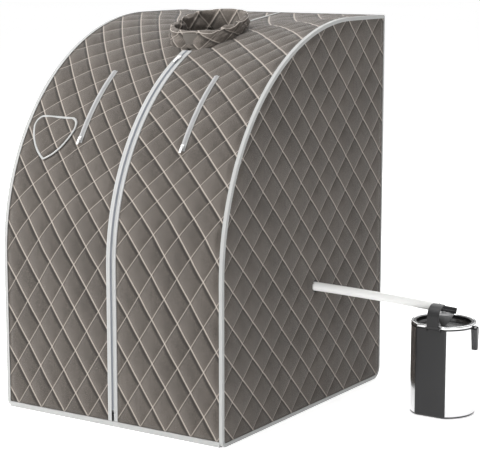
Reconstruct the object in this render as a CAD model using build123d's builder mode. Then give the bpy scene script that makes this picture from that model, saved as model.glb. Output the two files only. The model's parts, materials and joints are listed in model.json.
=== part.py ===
"""Portable steam sauna: a quilted cabin for one seated person, and a small steamer that feeds it by a hose.

Millimetres. +Z is up, the zipped front faces -Y, and the steamer stands at +X. The origin is on the floor,
under the middle of the cabin.
"""

import os
from math import acos, atan2, cos, degrees, hypot, pi, radians, sin, sqrt, tan

from build123d import *

os.makedirs("parts", exist_ok=True)

# ---- Cabin: overall sizes ----
WIDTH = 658.0  # over the two side panels
DEPTH = 768.0  # front to back
HEIGHT = 980.0  # floor to roof at the side hoops
ARCH_RADIUS = 590.0  # of the quarter circle from the front up to the roof, at the side hoops
SAG = 28.0  # how much smaller the cloth's radius is along the zip, where nothing holds it up

# ---- Cabin: cloth and trim ----
PANEL = 5.0  # quilted cloth
MAT = 3.0  # floor mat
ROOF_SEAM = 1.0  # between the back panel and the roof
TRIM = 1.5  # binding tape
TRIM_WIDTH = 7.5
SILL_HEIGHT = 13.0  # strip under the doors that ties the side panels together
FRONT_CORNER = 14.0  # radii of a side panel's corners
REAR_LOW_CORNER = 30.0
REAR_TOP_CORNER = 5.0
SWING_GAP = 0.5  # between a door and what it swings past

# ---- Zips ----
ZIP_X = 8.0
ZIP_SLOT = 6.0  # half the gap between the cloth edges under the main zip
ZIP_TAPE_WIDTH = 14.0  # each side
TAPE = 1.2
COIL_GROOVE = 0.6  # half the groove that a slider's post runs in
COIL_WIDTH = 2.2  # each row of teeth
COIL_HEIGHT = 1.8
ZIP_TOP = 61.0  # degrees round the arch where the main slider stops
ZIP_END = 64.5  # degrees round the arch where its tape ends, at the collar
ZIP_STOP = 45.0  # height of the lowest tooth
ARM_X = 155.0  # arm zips, each side of the main zip
ARM_LOW = 30.5  # degrees round the cloth's arc there
ARM_HIGH = 53.0
ARM_SLOT = 4.5
ARM_TAPE_WIDTH = 6.5

# ---- Zip sliders ----
SLIDER_GAP = 0.5  # round the tape and the teeth
ARM_SLIDER_GAP = 1.0  # the cloth leans a little there
SLIDER_PLATE = 1.2
SLIDER_LENGTH = 14.0
SLIDER_WIDTH = 9.0
ARM_SLIDER_LENGTH = 10.0
ARM_SLIDER_WIDTH = 8.0
POST_HALF = 0.25
POST_LENGTH = 3.0
PULL_LENGTH = 24.0
ARM_PULL_LENGTH = 18.0
PULL_WIDTH = 6.0
PULL_NECK = 2.6
PULL_THICKNESS = 1.4
BAIL_RADIUS = 0.7
BAIL_CLEARANCE = 0.06
BAIL_HEIGHT = 1.9  # of its pin over the slider
EAR_THICKNESS = 1.0
EAR_GAP = 0.4
PULL_KNUCKLE = 1.5
PULL_SHOULDER = 4.0  # from the pin to where the pull gets wide

# ---- Neck collar ----
COLLAR_SETBACK = 422.0  # from the front to the collar's middle
COLLAR_TILT = 15.5
COLLAR_RADIUS = 98.0
COLLAR_WALL = 11.0
COLLAR_RISE = 38.5  # of its top over the cloth, at its middle
COLLAR_EDGE = 4.0  # fillet round its top
COLLAR_SLIT = 1.5
COLLAR_DROP = 120.0
TAB_ANGLE = 26.0  # degrees of the collar that its closing tab covers
TAB_TURN = 3.0  # of the tab's middle, past straight ahead
TAB_THICKNESS = 2.0
TAB_GAP = 0.5
TAB_TOP = 5.0  # below the collar's top
TAB_HEIGHT = 31.0

# ---- Pocket for the remote control ----
POCKET_X = -238.5
POCKET_TOP = 739.0
POCKET_WIDTH = 131.0
POCKET_HEIGHT = 104.0
POCKET_SHOULDER = 27.0  # from its top down to where its sides start to close in
POCKET_CORNER = 22.0
POCKET_CLOTH = 2.5
POCKET_TRIM = 4.0
POCKET_TRIM_PROUD = 3.2

# ---- Frame inside the cloth ----
HOOP_RADIUS = 2.5
HOOP_INSET = 12.0
HOOP_CORNER = 36.0  # at the cloth, the hoop turns inside it
SLEEVE = 1.0
SLEEVE_HALF = 3.6  # half the cloth channel that holds a hoop
ROD_RADIUS = 4.0
ROD_INSET = 28.0
ROD_CLEARANCE = 0.3
SOCKET_WALL = 2.5
SOCKET_DEPTH = 20.0

# ---- Steam hose, its port and the diffuser inside ----
HOSE_RADIUS = 11.0
HOSE_WALL = 2.0
HOSE_BEND_SHARE = 0.45  # of the shorter run that each bend takes
HOSE_ROUTE = (
    (606.4, 176.6, 266.9),
    (507.9, 126.7, 285.7),
    (397.2, 70.5, 304.3),
    (298.7, 20.6, 318.7),
)
PORT_CLEARANCE = 0.5
GROMMET_WALL = 3.5
GROMMET_LIP = 4.0
GROMMET_LIP_DEPTH = 3.0
DIFFUSER_SLEEVE = 9.0
DIFFUSER_CLEARANCE = 0.3
DIFFUSER_INLET = 8.0
DIFFUSER_LENGTH = 40.0
DIFFUSER_RADIUS = 17.0
DIFFUSER_WALL = 2.0
DIFFUSER_SLOTS = 8
DIFFUSER_SLOT_WIDTH = 3.0
DIFFUSER_SLOT_LENGTH = 22.0

# ---- Steamer ----
POT_X = 619.0
POT_Y = 183.0
POT_RADIUS = 82.0
POT_HEIGHT = 235.0
SHELL_WALL = 1.0
FACET_HALF = 37.5  # half the width of the flat front
FRONT_PLATE = 2.5
FEET_HEIGHT = 2.0
FEET_RADIUS = 8.0
FEET_CIRCLE = 60.0
BASE_HEIGHT = 4.0
RIM_HEIGHT = 6.5
RIM_WIDTH = 7.0
RIM_ROUND = 2.5
GASKET_HEIGHT = 4.0
GASKET_INSET = 1.0
BEZEL_WALL = 6.0
BEZEL_DROP = 1.0  # below the rim's top
POT_GAP = 0.3  # between the pieces inside
LID_DEPTH = 14.0  # from the rim's top down to the lid's
LID_THICKNESS = 4.0
CUFF_GAP = 1.0  # between the riser's cone and the hose's cuff
SEAL_HEIGHT = 2.0
SEAL_WIDTH = 4.0
TANK_INSET = 12.5
TANK_WALL = 1.0
TANK_FLANGE = 1.5
TANK_LEDGE = 6.0
TANK_BOTTOM = 62.0
HEATER_RADIUS = 54.0
HEATER_THICKNESS = 9.0
CUTOUT_RADIUS = 8.0
CUTOUT_HEIGHT = 7.0
BOARD_LENGTH = 64.0
BOARD_WIDTH = 46.0
BOARD_THICKNESS = 1.6
BOARD_Z = 24.0
POST_RADIUS = 4.0
POST_INSET = 5.0
RELAY = (20.0, 15.0, 12.0)
CAPACITOR_RADIUS = 5.0
CAPACITOR_HEIGHT = 14.0
PART_SPACING = 16.0
SCREW_RADIUS = 1.5
SCREW_HEAD = 3.0
SCREW_HEAD_HEIGHT = 2.0
SCREW_LENGTH = 14.0
SCREW_CLEARANCE = 0.06
INLET_WIDTH = 28.0
INLET_HEIGHT = 20.0
INLET_DEPTH = 24.0
INLET_LIP = 2.0
INLET_Z = 38.0
INLET_WALL = 3.0
INLET_PIN = 1.6
INLET_PIN_SPACING = 9.0
RISER_LOW_RADIUS = 6.0
RISER_TOP_RADIUS = 27.0
RISER_BORE = 4.0
BARREL_RADIUS = 8.0
BARREL_BORE = 5.0
BARREL_REACH = 32.0  # past the pot's middle
BARREL_ROUND = 3.0
CUFF_LENGTH = 4.0  # the barrel's flange that the hose ends on
GRIP_ANGLE = 4.0  # round the pot from +X towards the back
GRIP_TOP = 229.0
GRIP_BOTTOM = 168.0
GRIP_WIDTH = 18.0
GRIP_REACH = 10.0
GRIP_ROUND = 3.0
LATCH_LEFT = 610.0
LATCH_RIGHT = 642.0
LATCH_THICKNESS = 2.5
LATCH_HEIGHT = 53.0  # over its pivot
LATCH_RISE = 2.0
LATCH_BEND = 28.0
LATCH_LIP = 34.0
LATCH_PIVOT_Z = 229.0
KNUCKLE_RADIUS = 2.8
KNUCKLE_GAP = 0.4
LUG_WIDTH = 3.5
LUG_DROP = 9.0
PIN_RADIUS = 1.5
PIN_CLEARANCE = 0.05

# ---- Worked out from the sizes above ----
FRONT = -DEPTH / 2
REAR = DEPTH / 2
SIDE = WIDTH / 2
STRAIGHT = HEIGHT - ARCH_RADIUS  # height where the front starts to curve back
ZIP_RADIUS = ARCH_RADIUS - SAG
ZIP_LAND = ZIP_TAPE_WIDTH + 2.0  # half the strip of cloth that lies flat under the zip
COIL_HALF = COIL_GROOVE + COIL_WIDTH
COIL_TOP = TAPE + COIL_HEIGHT
SIGNS = {"left": -1, "right": 1}

written = []


def save(piece, name):
    """Names a finished piece and writes it."""
    piece.part.label = name
    export_step(piece.part, f"parts/{name}.step")
    written.append(name)


# ---- The cloth's shape ----
def arc_end():
    """Degrees round the zip's arc where the cloth leaves it, to run straight to the rear top edge."""
    back = REAR - (FRONT + ZIP_RADIUS)
    up = HEIGHT - STRAIGHT
    return 90 + degrees(atan2(back, up)) - degrees(acos(ZIP_RADIUS / hypot(back, up)))


ZIP_ARC = arc_end()


def reach(x):
    """0 along the zip's flat strip, 1 at the side panels."""
    side = SIDE - PANEL - (ZIP_X if x > ZIP_X else -ZIP_X) - ZIP_LAND
    return min(1.0, max(0.0, (abs(x - ZIP_X) - ZIP_LAND) / side))


def on_arc(radius, angle, offset=0.0):
    """(y, z) of a point round an arc that starts up the front, offset out of the cloth."""
    a = radians(angle)
    return (FRONT + radius - (radius + offset) * cos(a), STRAIGHT + (radius + offset) * sin(a))


def on_cloth(x, share):
    """(y, z) on the cloth at x, that share of the way round its arch."""
    side_y, side_z = on_arc(ARCH_RADIUS, 90 * share)
    zip_y, zip_z = on_arc(ZIP_RADIUS, ZIP_ARC * share)
    w = reach(x)
    return (zip_y + (side_y - zip_y) * w, zip_z + (side_z - zip_z) * w)


def cloth_line(radius, offset):
    """Draws the arch and roof from the front to the rear, in the active BuildLine. Returns its two ends."""
    end_angle = 90 if radius == ARCH_RADIUS else ZIP_ARC
    foot = on_arc(radius, 0, offset)
    end = on_arc(radius, end_angle, offset)
    rear = (REAR, end[1] + (REAR - end[0]) * tan(radians(90 - end_angle)))
    ThreePointArc(foot, on_arc(radius, end_angle / 2, offset), end)
    Line(end, rear)
    return foot, rear


def band(x, radius, outer, inner):
    """A closed section of arch and roof between two offsets, as a sketch at x."""
    with BuildSketch(Plane.YZ.offset(x)) as section:
        with BuildLine():
            foot_out, rear_out = cloth_line(radius, outer)
            foot_in, rear_in = cloth_line(radius, inner)
            Line(foot_out, foot_in)
            Line(rear_out, rear_in)
        make_face()
    return section.sketch.face()


def body_section(x, radius, offset):
    """The whole cabin's section at x, down to the floor."""
    with BuildSketch(Plane.YZ.offset(x)) as section:
        with BuildLine():
            foot, rear = cloth_line(radius, offset)
            Polyline(foot, (foot[0], 0), (rear[0], 0), rear)
        make_face()
    return section.sketch.face()


def arch_shell(sign, edge, outer, inner):
    """Adds one half of the arch and roof, from the zip's slot to the side panel, to the active part."""
    side_x = sign * (SIDE - PANEL)
    land_x = ZIP_X + sign * ZIP_LAND
    land = band(land_x, ZIP_RADIUS, outer, inner)
    loft([band(side_x, ARCH_RADIUS, outer, inner), land], ruled=True)
    extrude(land, amount=ZIP_LAND - edge, dir=(-sign, 0, 0))


def cabin_volume(offset):
    """The solid that the cloth encloses, grown by offset, as a cutting tool."""
    with BuildPart() as volume:
        for sign in (-1, 1):
            side_x = sign * (SIDE - PANEL)
            land_x = ZIP_X + sign * ZIP_LAND
            side = body_section(side_x, ARCH_RADIUS, offset)
            loft([side, body_section(land_x, ZIP_RADIUS, offset)], ruled=True)
            extrude(side, amount=PANEL, dir=(sign, 0, 0))
        extrude(body_section(ZIP_X - ZIP_LAND, ZIP_RADIUS, offset), amount=2 * ZIP_LAND, dir=(1, 0, 0))
    return volume.part


# ---- Outline shared by the side panels and what follows them ----
CORNERS = (FRONT_CORNER, REAR_LOW_CORNER, REAR_TOP_CORNER)
HOOP_CORNERS = (HOOP_CORNER, HOOP_CORNER, HOOP_CORNER)


def outline_face(x, inset=0.0, corners=CORNERS, rear_inset=None):
    """A side panel's outline at x, drawn in from its edge."""
    rear = REAR - (inset if rear_inset is None else rear_inset)
    low = TRIM + inset
    with BuildSketch(Plane.YZ.offset(x)) as outline:
        with BuildLine():
            foot = on_arc(ARCH_RADIUS, 0, -inset)
            end = on_arc(ARCH_RADIUS, 90, -inset)
            ThreePointArc(foot, on_arc(ARCH_RADIUS, 45, -inset), end)
            Polyline(end, (rear, end[1]), (rear, low), (foot[0], low), foot)
        make_face()
        fillet(outline.vertices().group_by(Axis.Y)[0].sort_by(Axis.X)[0], corners[0] - inset)
        fillet(outline.vertices().group_by(Axis.Y)[0].sort_by(Axis.X)[-1], corners[1] - inset)
        fillet(outline.vertices().group_by(Axis.Y)[-1].sort_by(Axis.X)[-1], max(corners[2] - inset, TRIM))
    return outline.sketch.face()


# ---- Side panels, with the port that the hose comes in by ----
hose_start = Vector(*HOSE_ROUTE[0])
hose_end = Vector(*HOSE_ROUTE[-1])
hose_out = (hose_start - Vector(*HOSE_ROUTE[1])).normalized()  # out of the hose into the steamer's barrel
hose_in = (hose_end - Vector(*HOSE_ROUTE[-2])).normalized()  # into the cabin
port = hose_end + hose_in * ((SIDE - hose_end.X) / hose_in.X)  # on the cloth's outer face
port_plane = Plane(port, z_dir=hose_in)
grommet_outer = HOSE_RADIUS + PORT_CLEARANCE + GROMMET_WALL

for name, sign in SIGNS.items():
    with BuildPart() as side_panel:
        extrude(outline_face(sign * (SIDE - PANEL)), amount=PANEL, dir=(sign, 0, 0))
        if name == "right":
            with BuildSketch(port_plane):
                Circle(grommet_outer)
            extrude(amount=DIFFUSER_LENGTH, both=True, mode=Mode.SUBTRACT)
    save(side_panel, f"side_panel_{name}")

lip_inner = SIDE - PANEL - GROMMET_LIP_DEPTH
lip_middle = port + hose_in * ((lip_inner - SIDE) / hose_in.X)
with BuildPart() as port_grommet:
    with BuildSketch(port_plane):
        Circle(grommet_outer)
    extrude(amount=DIFFUSER_LENGTH, both=True)
    split(bisect_by=Plane.YZ.offset(SIDE), keep=Keep.BOTTOM)
    split(bisect_by=Plane.YZ.offset(lip_inner), keep=Keep.TOP)
    with BuildSketch(Plane.YZ.offset(lip_inner)):
        with Locations((lip_middle.Y, lip_middle.Z)):
            Circle(grommet_outer + GROMMET_LIP)
    extrude(amount=GROMMET_LIP_DEPTH)
    with BuildSketch(port_plane):
        Circle(HOSE_RADIUS + PORT_CLEARANCE)
    extrude(amount=2 * DIFFUSER_LENGTH, both=True, mode=Mode.SUBTRACT)
save(port_grommet, "port_grommet")

# ---- Back panel, floor mat and sill ----
inner_width = WIDTH - 2 * PANEL
with BuildPart() as back_panel:
    extrude(outline_face(PANEL - SIDE), amount=inner_width)
    extrude(outline_face(PANEL - SIDE, PANEL), amount=inner_width, mode=Mode.SUBTRACT)
    with Locations((0, REAR, HEIGHT - PANEL - ROOF_SEAM)):
        Box(WIDTH, 2 * REAR_LOW_CORNER, 2 * HEIGHT, align=(Align.CENTER, Align.CENTER, Align.MAX),
            mode=Mode.INTERSECT)
save(back_panel, "back_panel")

with BuildPart() as floor_mat:
    with Locations((0, FRONT + PANEL, 0)):
        Box(WIDTH - 2 * TRIM_WIDTH, DEPTH - PANEL - REAR_LOW_CORNER, MAT, align=(Align.CENTER, Align.MIN, Align.MIN))
save(floor_mat, "floor_mat")

with BuildPart() as front_sill:
    with Locations((0, FRONT - TRIM, 0)):
        Box(WIDTH - 2 * TRIM_WIDTH, PANEL + TRIM, SILL_HEIGHT, align=(Align.CENTER, Align.MIN, Align.MIN))
    fillet(front_sill.edges().filter_by(Axis.X).group_by(Axis.Y)[0], TRIM / 2)
save(front_sill, "front_sill")

# ---- Bindings round the side panels and along the roof ----
for name, sign in SIGNS.items():
    with BuildPart() as side_binding:
        extrude(outline_face(sign * SIDE, -TRIM), amount=TRIM, dir=(sign, 0, 0))
        extrude(outline_face(sign * SIDE, -TRIM), amount=TRIM_WIDTH, dir=(-sign, 0, 0))
        extrude(outline_face(sign * SIDE), amount=TRIM_WIDTH, dir=(-sign, 0, 0), mode=Mode.SUBTRACT)
        extrude(outline_face(sign * SIDE, TRIM_WIDTH, (FRONT_CORNER, REAR_LOW_CORNER, TRIM_WIDTH + TRIM),
                             TRIM_WIDTH / 2), amount=TRIM, dir=(sign, 0, 0), mode=Mode.SUBTRACT)
    save(side_binding, f"side_binding_{name}")

with BuildPart() as rear_top_binding:
    extrude(outline_face(TRIM_WIDTH - SIDE, -TRIM), amount=WIDTH - 2 * TRIM_WIDTH)
    extrude(outline_face(TRIM_WIDTH - SIDE), amount=WIDTH - 2 * TRIM_WIDTH, mode=Mode.SUBTRACT)
    with Locations((0, REAR, HEIGHT)):
        Box(WIDTH, TRIM_WIDTH, TRIM_WIDTH, mode=Mode.INTERSECT)
save(rear_top_binding, "rear_top_binding")

# ---- Neck collar and its closing tab ----
collar_y = FRONT + COLLAR_SETBACK
collar_cloth = STRAIGHT + sqrt(ZIP_RADIUS**2 - (FRONT + ZIP_RADIUS - collar_y) ** 2)
collar_axis = Vector(0, -sin(radians(COLLAR_TILT)), cos(radians(COLLAR_TILT)))
collar_top = Plane((ZIP_X, collar_y, collar_cloth + COLLAR_RISE), x_dir=(1, 0, 0), z_dir=collar_axis)
cabin = cabin_volume(0)

with BuildPart() as neck_collar:
    with BuildSketch(collar_top):
        Circle(COLLAR_RADIUS)
        Circle(COLLAR_RADIUS - COLLAR_WALL, mode=Mode.SUBTRACT)
    extrude(amount=-COLLAR_DROP)
    fillet(neck_collar.edges().group_by(Axis(collar_top.origin, collar_axis))[-1], COLLAR_EDGE)
    add(cabin, mode=Mode.SUBTRACT)
    with BuildSketch(collar_top):
        with Locations((0, -COLLAR_RADIUS)):
            Rectangle(COLLAR_SLIT, 2 * COLLAR_WALL + COLLAR_EDGE)
    extrude(amount=-COLLAR_DROP, mode=Mode.SUBTRACT)
save(neck_collar, "neck_collar")

tab_inner = COLLAR_RADIUS + TAB_GAP
tab_low = radians(TAB_TURN - 90 - TAB_ANGLE / 2)
tab_high = radians(TAB_TURN - 90 + TAB_ANGLE / 2)
tab_middle = radians(TAB_TURN - 90)


def round_collar(radius, angle):
    """A point in the collar's own plane, an angle round from +X."""
    return (radius * cos(angle), radius * sin(angle))


with BuildPart() as collar_tab:
    with BuildSketch(collar_top.offset(-TAB_TOP)):
        with BuildLine():
            outer = tab_inner + TAB_THICKNESS
            ThreePointArc(*(round_collar(tab_inner, angle) for angle in (tab_low, tab_middle, tab_high)))
            ThreePointArc(*(round_collar(outer, angle) for angle in (tab_low, tab_middle, tab_high)))
            Line(round_collar(tab_inner, tab_low), round_collar(outer, tab_low))
            Line(round_collar(tab_inner, tab_high), round_collar(outer, tab_high))
        make_face()
    extrude(amount=-TAB_HEIGHT)
    fillet(collar_tab.edges().filter_by(GeomType.LINE).filter_by(
        lambda edge: edge.length < 2 * TAB_THICKNESS and abs((edge % 0.5).Z) < sin(radians(COLLAR_TILT)) + TRIM / 10
    ).group_by(Axis.X)[0], TRIM)
save(collar_tab, "collar_tab")

# ---- Arch and roof: two halves that meet over the zip ----
with BuildPart() as neck_hole:
    with BuildSketch(collar_top):
        Circle(COLLAR_RADIUS - COLLAR_WALL)
    extrude(amount=COLLAR_DROP, both=True)


def circle_through(a, b, c):
    """(y, z, radius) of the circle through three (y, z) points."""
    d = 2 * (a[0] * (b[1] - c[1]) + b[0] * (c[1] - a[1]) + c[0] * (a[1] - b[1]))
    aa, bb, cc = (p[0] ** 2 + p[1] ** 2 for p in (a, b, c))
    y = (aa * (b[1] - c[1]) + bb * (c[1] - a[1]) + cc * (a[1] - b[1])) / d
    z = (aa * (c[0] - b[0]) + bb * (a[0] - c[0]) + cc * (b[0] - a[0])) / d
    return y, z, hypot(a[0] - y, a[1] - z)


def round_zip(arc, radius, angle):
    """(y, z) at a radius and an angle round a zip's arc."""
    return (arc[0] - radius * cos(radians(angle)), arc[1] + radius * sin(radians(angle)))


def strip(arc, x_low, x_high, inner, outer, low, high):
    """Adds a piece of a ring round a zip's arc, between two x, two offsets from the cloth and two angles."""
    with BuildSketch(Plane.YZ.offset(x_low)) as section:
        with BuildLine():
            for edge in (inner, outer):
                ThreePointArc(*(round_zip(arc, arc[2] + edge, a) for a in (low, (low + high) / 2, high)))
            for angle in (low, high):
                Line(round_zip(arc, arc[2] + inner, angle), round_zip(arc, arc[2] + outer, angle))
        make_face()
    return extrude(section.sketch.face(), amount=x_high - x_low)


def strip_tool(*sizes):
    """The same as a free solid, for cutting."""
    with BuildPart() as tool:
        strip(*sizes)
    return tool.part


zip_arc = (FRONT + ZIP_RADIUS, STRAIGHT, ZIP_RADIUS)
arm_arcs = {}
for name, sign in SIGNS.items():
    arm_x = ZIP_X + sign * ARM_X
    arm_arcs[name] = circle_through(*(on_cloth(arm_x, share) for share in (1 / 3, 0.45, 0.58)))

with BuildPart() as outline_prism:
    extrude(outline_face(-SIDE), amount=WIDTH)

for name, sign in SIGNS.items():
    arm_x = ZIP_X + sign * ARM_X
    arm_slot = strip_tool(arm_arcs[name], arm_x - ARM_SLOT, arm_x + ARM_SLOT, -2 * PANEL, 2 * PANEL,
                          ARM_LOW, ARM_HIGH)
    with BuildPart() as arch_panel:
        arch_shell(sign, 0, 0, -PANEL)
        add(neck_hole.part, mode=Mode.SUBTRACT)
        add(outline_prism.part, mode=Mode.INTERSECT)
        with Locations((ZIP_X, collar_y, STRAIGHT)):
            Box(2 * ZIP_SLOT, HEIGHT, HEIGHT, align=(Align.CENTER, Align.MAX, Align.MIN), mode=Mode.SUBTRACT)
        add(arm_slot, mode=Mode.SUBTRACT)
    save(arch_panel, f"arch_panel_{name}")

with BuildPart() as roof_seam_binding:
    extrude(band(ZIP_X - TRIM_WIDTH / 2, ZIP_RADIUS, TRIM, 0), amount=TRIM_WIDTH, dir=(1, 0, 0))
    with Locations((ZIP_X, collar_y, STRAIGHT)):
        Box(WIDTH, HEIGHT, HEIGHT, align=(Align.CENTER, Align.MAX, Align.MIN), mode=Mode.SUBTRACT)
    with Locations((ZIP_X, REAR - TRIM_WIDTH / 2, STRAIGHT)):
        Box(WIDTH, HEIGHT, HEIGHT, align=(Align.CENTER, Align.MIN, Align.MIN), mode=Mode.SUBTRACT)
    with BuildSketch(collar_top):
        Circle(COLLAR_RADIUS)
    extrude(amount=COLLAR_DROP, both=True, mode=Mode.SUBTRACT)
save(roof_seam_binding, "roof_seam_binding")

# ---- Doors and the main zip ----
door_edge = SIDE - TRIM_WIDTH - SWING_GAP
door_low = SILL_HEIGHT + SWING_GAP
door_high = STRAIGHT - SWING_GAP
tape_edge = COIL_GROOVE + ZIP_TAPE_WIDTH


def upright(x_one, x_two, y_low, y_high, z_low, z_high):
    """Adds a block between its limits, x in either order."""
    with Locations(((x_one + x_two) / 2, y_low, z_low)):
        Box(abs(x_two - x_one), y_high - y_low, z_high - z_low, align=(Align.CENTER, Align.MIN, Align.MIN))


for name, sign in SIGNS.items():
    with BuildPart() as door_panel:
        upright(sign * door_edge, ZIP_X + sign * ZIP_SLOT, FRONT, FRONT + PANEL, door_low, door_high)
    save(door_panel, f"door_panel_{name}")

    with BuildPart() as door_zip_tape:
        upright(ZIP_X + sign * COIL_GROOVE, ZIP_X + sign * tape_edge, FRONT - TAPE, FRONT, door_low, door_high)
    save(door_zip_tape, f"door_zip_tape_{name}")

    with BuildPart() as door_zip_coil:
        upright(ZIP_X + sign * COIL_GROOVE, ZIP_X + sign * COIL_HALF, FRONT - COIL_TOP, FRONT - TAPE,
                ZIP_STOP, door_high)
    save(door_zip_coil, f"door_zip_coil_{name}")

    with BuildPart() as arch_zip_tape:
        low_x, high_x = sorted((ZIP_X + sign * COIL_GROOVE, ZIP_X + sign * tape_edge))
        strip(zip_arc, low_x, high_x, 0, TAPE, 0, ZIP_END)
    save(arch_zip_tape, f"arch_zip_tape_{name}")

with BuildPart() as arch_zip_coil:
    for sign in SIGNS.values():
        low_x, high_x = sorted((ZIP_X + sign * COIL_GROOVE, ZIP_X + sign * COIL_HALF))
        strip(zip_arc, low_x, high_x, TAPE, COIL_TOP, 0, ZIP_END)
save(arch_zip_coil, "arch_zip_coil")

# ---- Arm zips, closed, on the leaning cloth each side ----
def arm_tool(name, half):
    """A block round one arm zip, half wide each side of it, as a cutting tool."""
    middle = ZIP_X + SIGNS[name] * ARM_X
    return strip_tool(arm_arcs[name], middle - half, middle + half, -PANEL, 2 * PANEL, ARM_LOW, ARM_HIGH)


def arm_strip(name, half, outer, inner):
    """One arm zip's strip between two offsets from the cloth, with the groove down its middle."""
    with BuildPart() as piece:
        arch_shell(SIGNS[name], 0, outer, inner)
        add(arm_tool(name, half), mode=Mode.INTERSECT)
        add(arm_tool(name, COIL_GROOVE), mode=Mode.SUBTRACT)
    return piece.part


with BuildPart() as arm_zip_tapes:
    for name in SIGNS:
        add(arm_strip(name, COIL_GROOVE + ARM_TAPE_WIDTH, TAPE, 0))
save(arm_zip_tapes, "arm_zip_tapes")

with BuildPart() as arm_zip_coils:
    for name in SIGNS:
        add(arm_strip(name, COIL_HALF, COIL_TOP, TAPE))
save(arm_zip_coils, "arm_zip_coils")


# ---- Zip sliders and their pulls ----
def slider_plane(x, arc, angle):
    """On the cloth at an angle round a zip's arc: local X across the zip, Y up it, Z out of the cloth."""
    y, z = round_zip(arc, arc[2], angle)
    normal = (0, -cos(radians(angle)), sin(radians(angle)))
    return Plane((x, y, z), x_dir=(1, 0, 0), z_dir=normal)


def plate(plane, width, length, low, high):
    """Adds a block on a zip, between two offsets from the cloth."""
    with BuildSketch(plane.offset(low)) as section:
        RectangleRounded(width, length, TAPE)
    extrude(section.sketch, amount=high - low)


def cross_pin(plane, height, radius, half, mode=Mode.ADD):
    """Adds a round bar across a zip at an offset from the cloth."""
    middle = plane.from_local_coords(Vector(0, 0, height))
    with BuildSketch(Plane(middle, z_dir=(1, 0, 0))) as section:
        Circle(radius)
    extrude(section.sketch, amount=half, both=True, mode=mode)


def slider(plane, width, length, gap):
    """Adds a zip slider: a plate over the teeth, one under the tapes, and a post between the rows."""
    top = COIL_TOP + gap
    pin_height = top + SLIDER_PLATE + BAIL_HEIGHT
    plate(plane, width, length, top, top + SLIDER_PLATE)
    plate(plane, width, length, -gap - SLIDER_PLATE, -gap)
    with BuildSketch(plane.offset(-gap)) as post:
        Rectangle(2 * POST_HALF, POST_LENGTH)
    extrude(post.sketch, amount=top + gap)
    ear_middle = PULL_NECK / 2 + EAR_GAP + EAR_THICKNESS / 2
    with BuildSketch(plane.offset(top + SLIDER_PLATE)) as ears:
        with Locations((-ear_middle, 0), (ear_middle, 0)):
            Rectangle(EAR_THICKNESS, 2 * PULL_KNUCKLE)
    extrude(ears.sketch, amount=BAIL_HEIGHT + BAIL_RADIUS + EAR_GAP)
    cross_pin(plane, pin_height, BAIL_RADIUS, ear_middle)


def pull(plane, gap, length):
    """Adds a slider's pull, lying down the zip. Returns the middle of its hinge."""
    pin_height = COIL_TOP + gap + SLIDER_PLATE + BAIL_HEIGHT
    with BuildSketch(plane.offset(pin_height - PULL_THICKNESS / 2)) as tag:
        with Locations((0, -length / 2)):
            Rectangle(PULL_NECK, length)
        with Locations((0, -(length + PULL_SHOULDER) / 2)):
            RectangleRounded(PULL_WIDTH, length - PULL_SHOULDER, PULL_THICKNESS)
    extrude(tag.sketch, amount=PULL_THICKNESS)
    cross_pin(plane, pin_height, PULL_KNUCKLE, PULL_NECK / 2)
    cross_pin(plane, pin_height, BAIL_RADIUS + BAIL_CLEARANCE, PULL_WIDTH, Mode.SUBTRACT)
    return plane.from_local_coords(Vector(0, 0, pin_height))


zip_place = slider_plane(ZIP_X, zip_arc, ZIP_TOP)
with BuildPart() as zip_slider:
    slider(zip_place, SLIDER_WIDTH, SLIDER_LENGTH, SLIDER_GAP)
save(zip_slider, "zip_slider")

hinges = {}
with BuildPart() as zip_pull:
    hinges["zip_pull"] = pull(zip_place, SLIDER_GAP, PULL_LENGTH)
save(zip_pull, "zip_pull")

for name, sign in SIGNS.items():
    low_angle = ARM_LOW + degrees(ARM_SLIDER_LENGTH / arm_arcs[name][2])
    arm_place = slider_plane(ZIP_X + sign * ARM_X, arm_arcs[name], low_angle)
    with BuildPart() as arm_slider:
        slider(arm_place, ARM_SLIDER_WIDTH, ARM_SLIDER_LENGTH, ARM_SLIDER_GAP)
    save(arm_slider, f"arm_slider_{name}")

    with BuildPart() as arm_pull:
        hinges[f"arm_pull_{name}"] = pull(arm_place, ARM_SLIDER_GAP, ARM_PULL_LENGTH)
    save(arm_pull, f"arm_pull_{name}")

# ---- Pocket on the arch ----
pocket_left = POCKET_X - POCKET_WIDTH / 2
pocket_right = POCKET_X + POCKET_WIDTH / 2


def pocket_prism(inset):
    """The pocket's shield shape, run back into the cloth, as a cutting tool."""
    shoulder = POCKET_TOP - POCKET_SHOULDER
    tip = (POCKET_X - POCKET_SHOULDER / 6, POCKET_TOP - POCKET_HEIGHT)
    belly = (shoulder + tip[1]) / 2
    with BuildPart() as prism:
        with BuildSketch(Plane.XZ.offset(-FRONT)) as shield:
            with BuildLine():
                Polyline((pocket_left, shoulder), (pocket_left, POCKET_TOP), (pocket_right, POCKET_TOP - TRIM),
                         (pocket_right, shoulder))
                ThreePointArc((pocket_left, shoulder), (pocket_left + POCKET_WIDTH / 7, belly), tip)
                ThreePointArc((pocket_right, shoulder), (pocket_right - POCKET_WIDTH / 7, belly), tip)
            make_face()
            fillet(shield.vertices().sort_by(Axis.Y)[-2:], POCKET_CORNER)
            if inset:
                offset(amount=-inset, kind=Kind.INTERSECTION, mode=Mode.REPLACE)
        extrude(amount=-ARCH_RADIUS)
    return prism.part


with BuildPart() as pocket_patch:
    arch_shell(-1, 0, POCKET_CLOTH, 0)
    add(pocket_prism(POCKET_TRIM), mode=Mode.INTERSECT)
save(pocket_patch, "pocket_patch")

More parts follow.
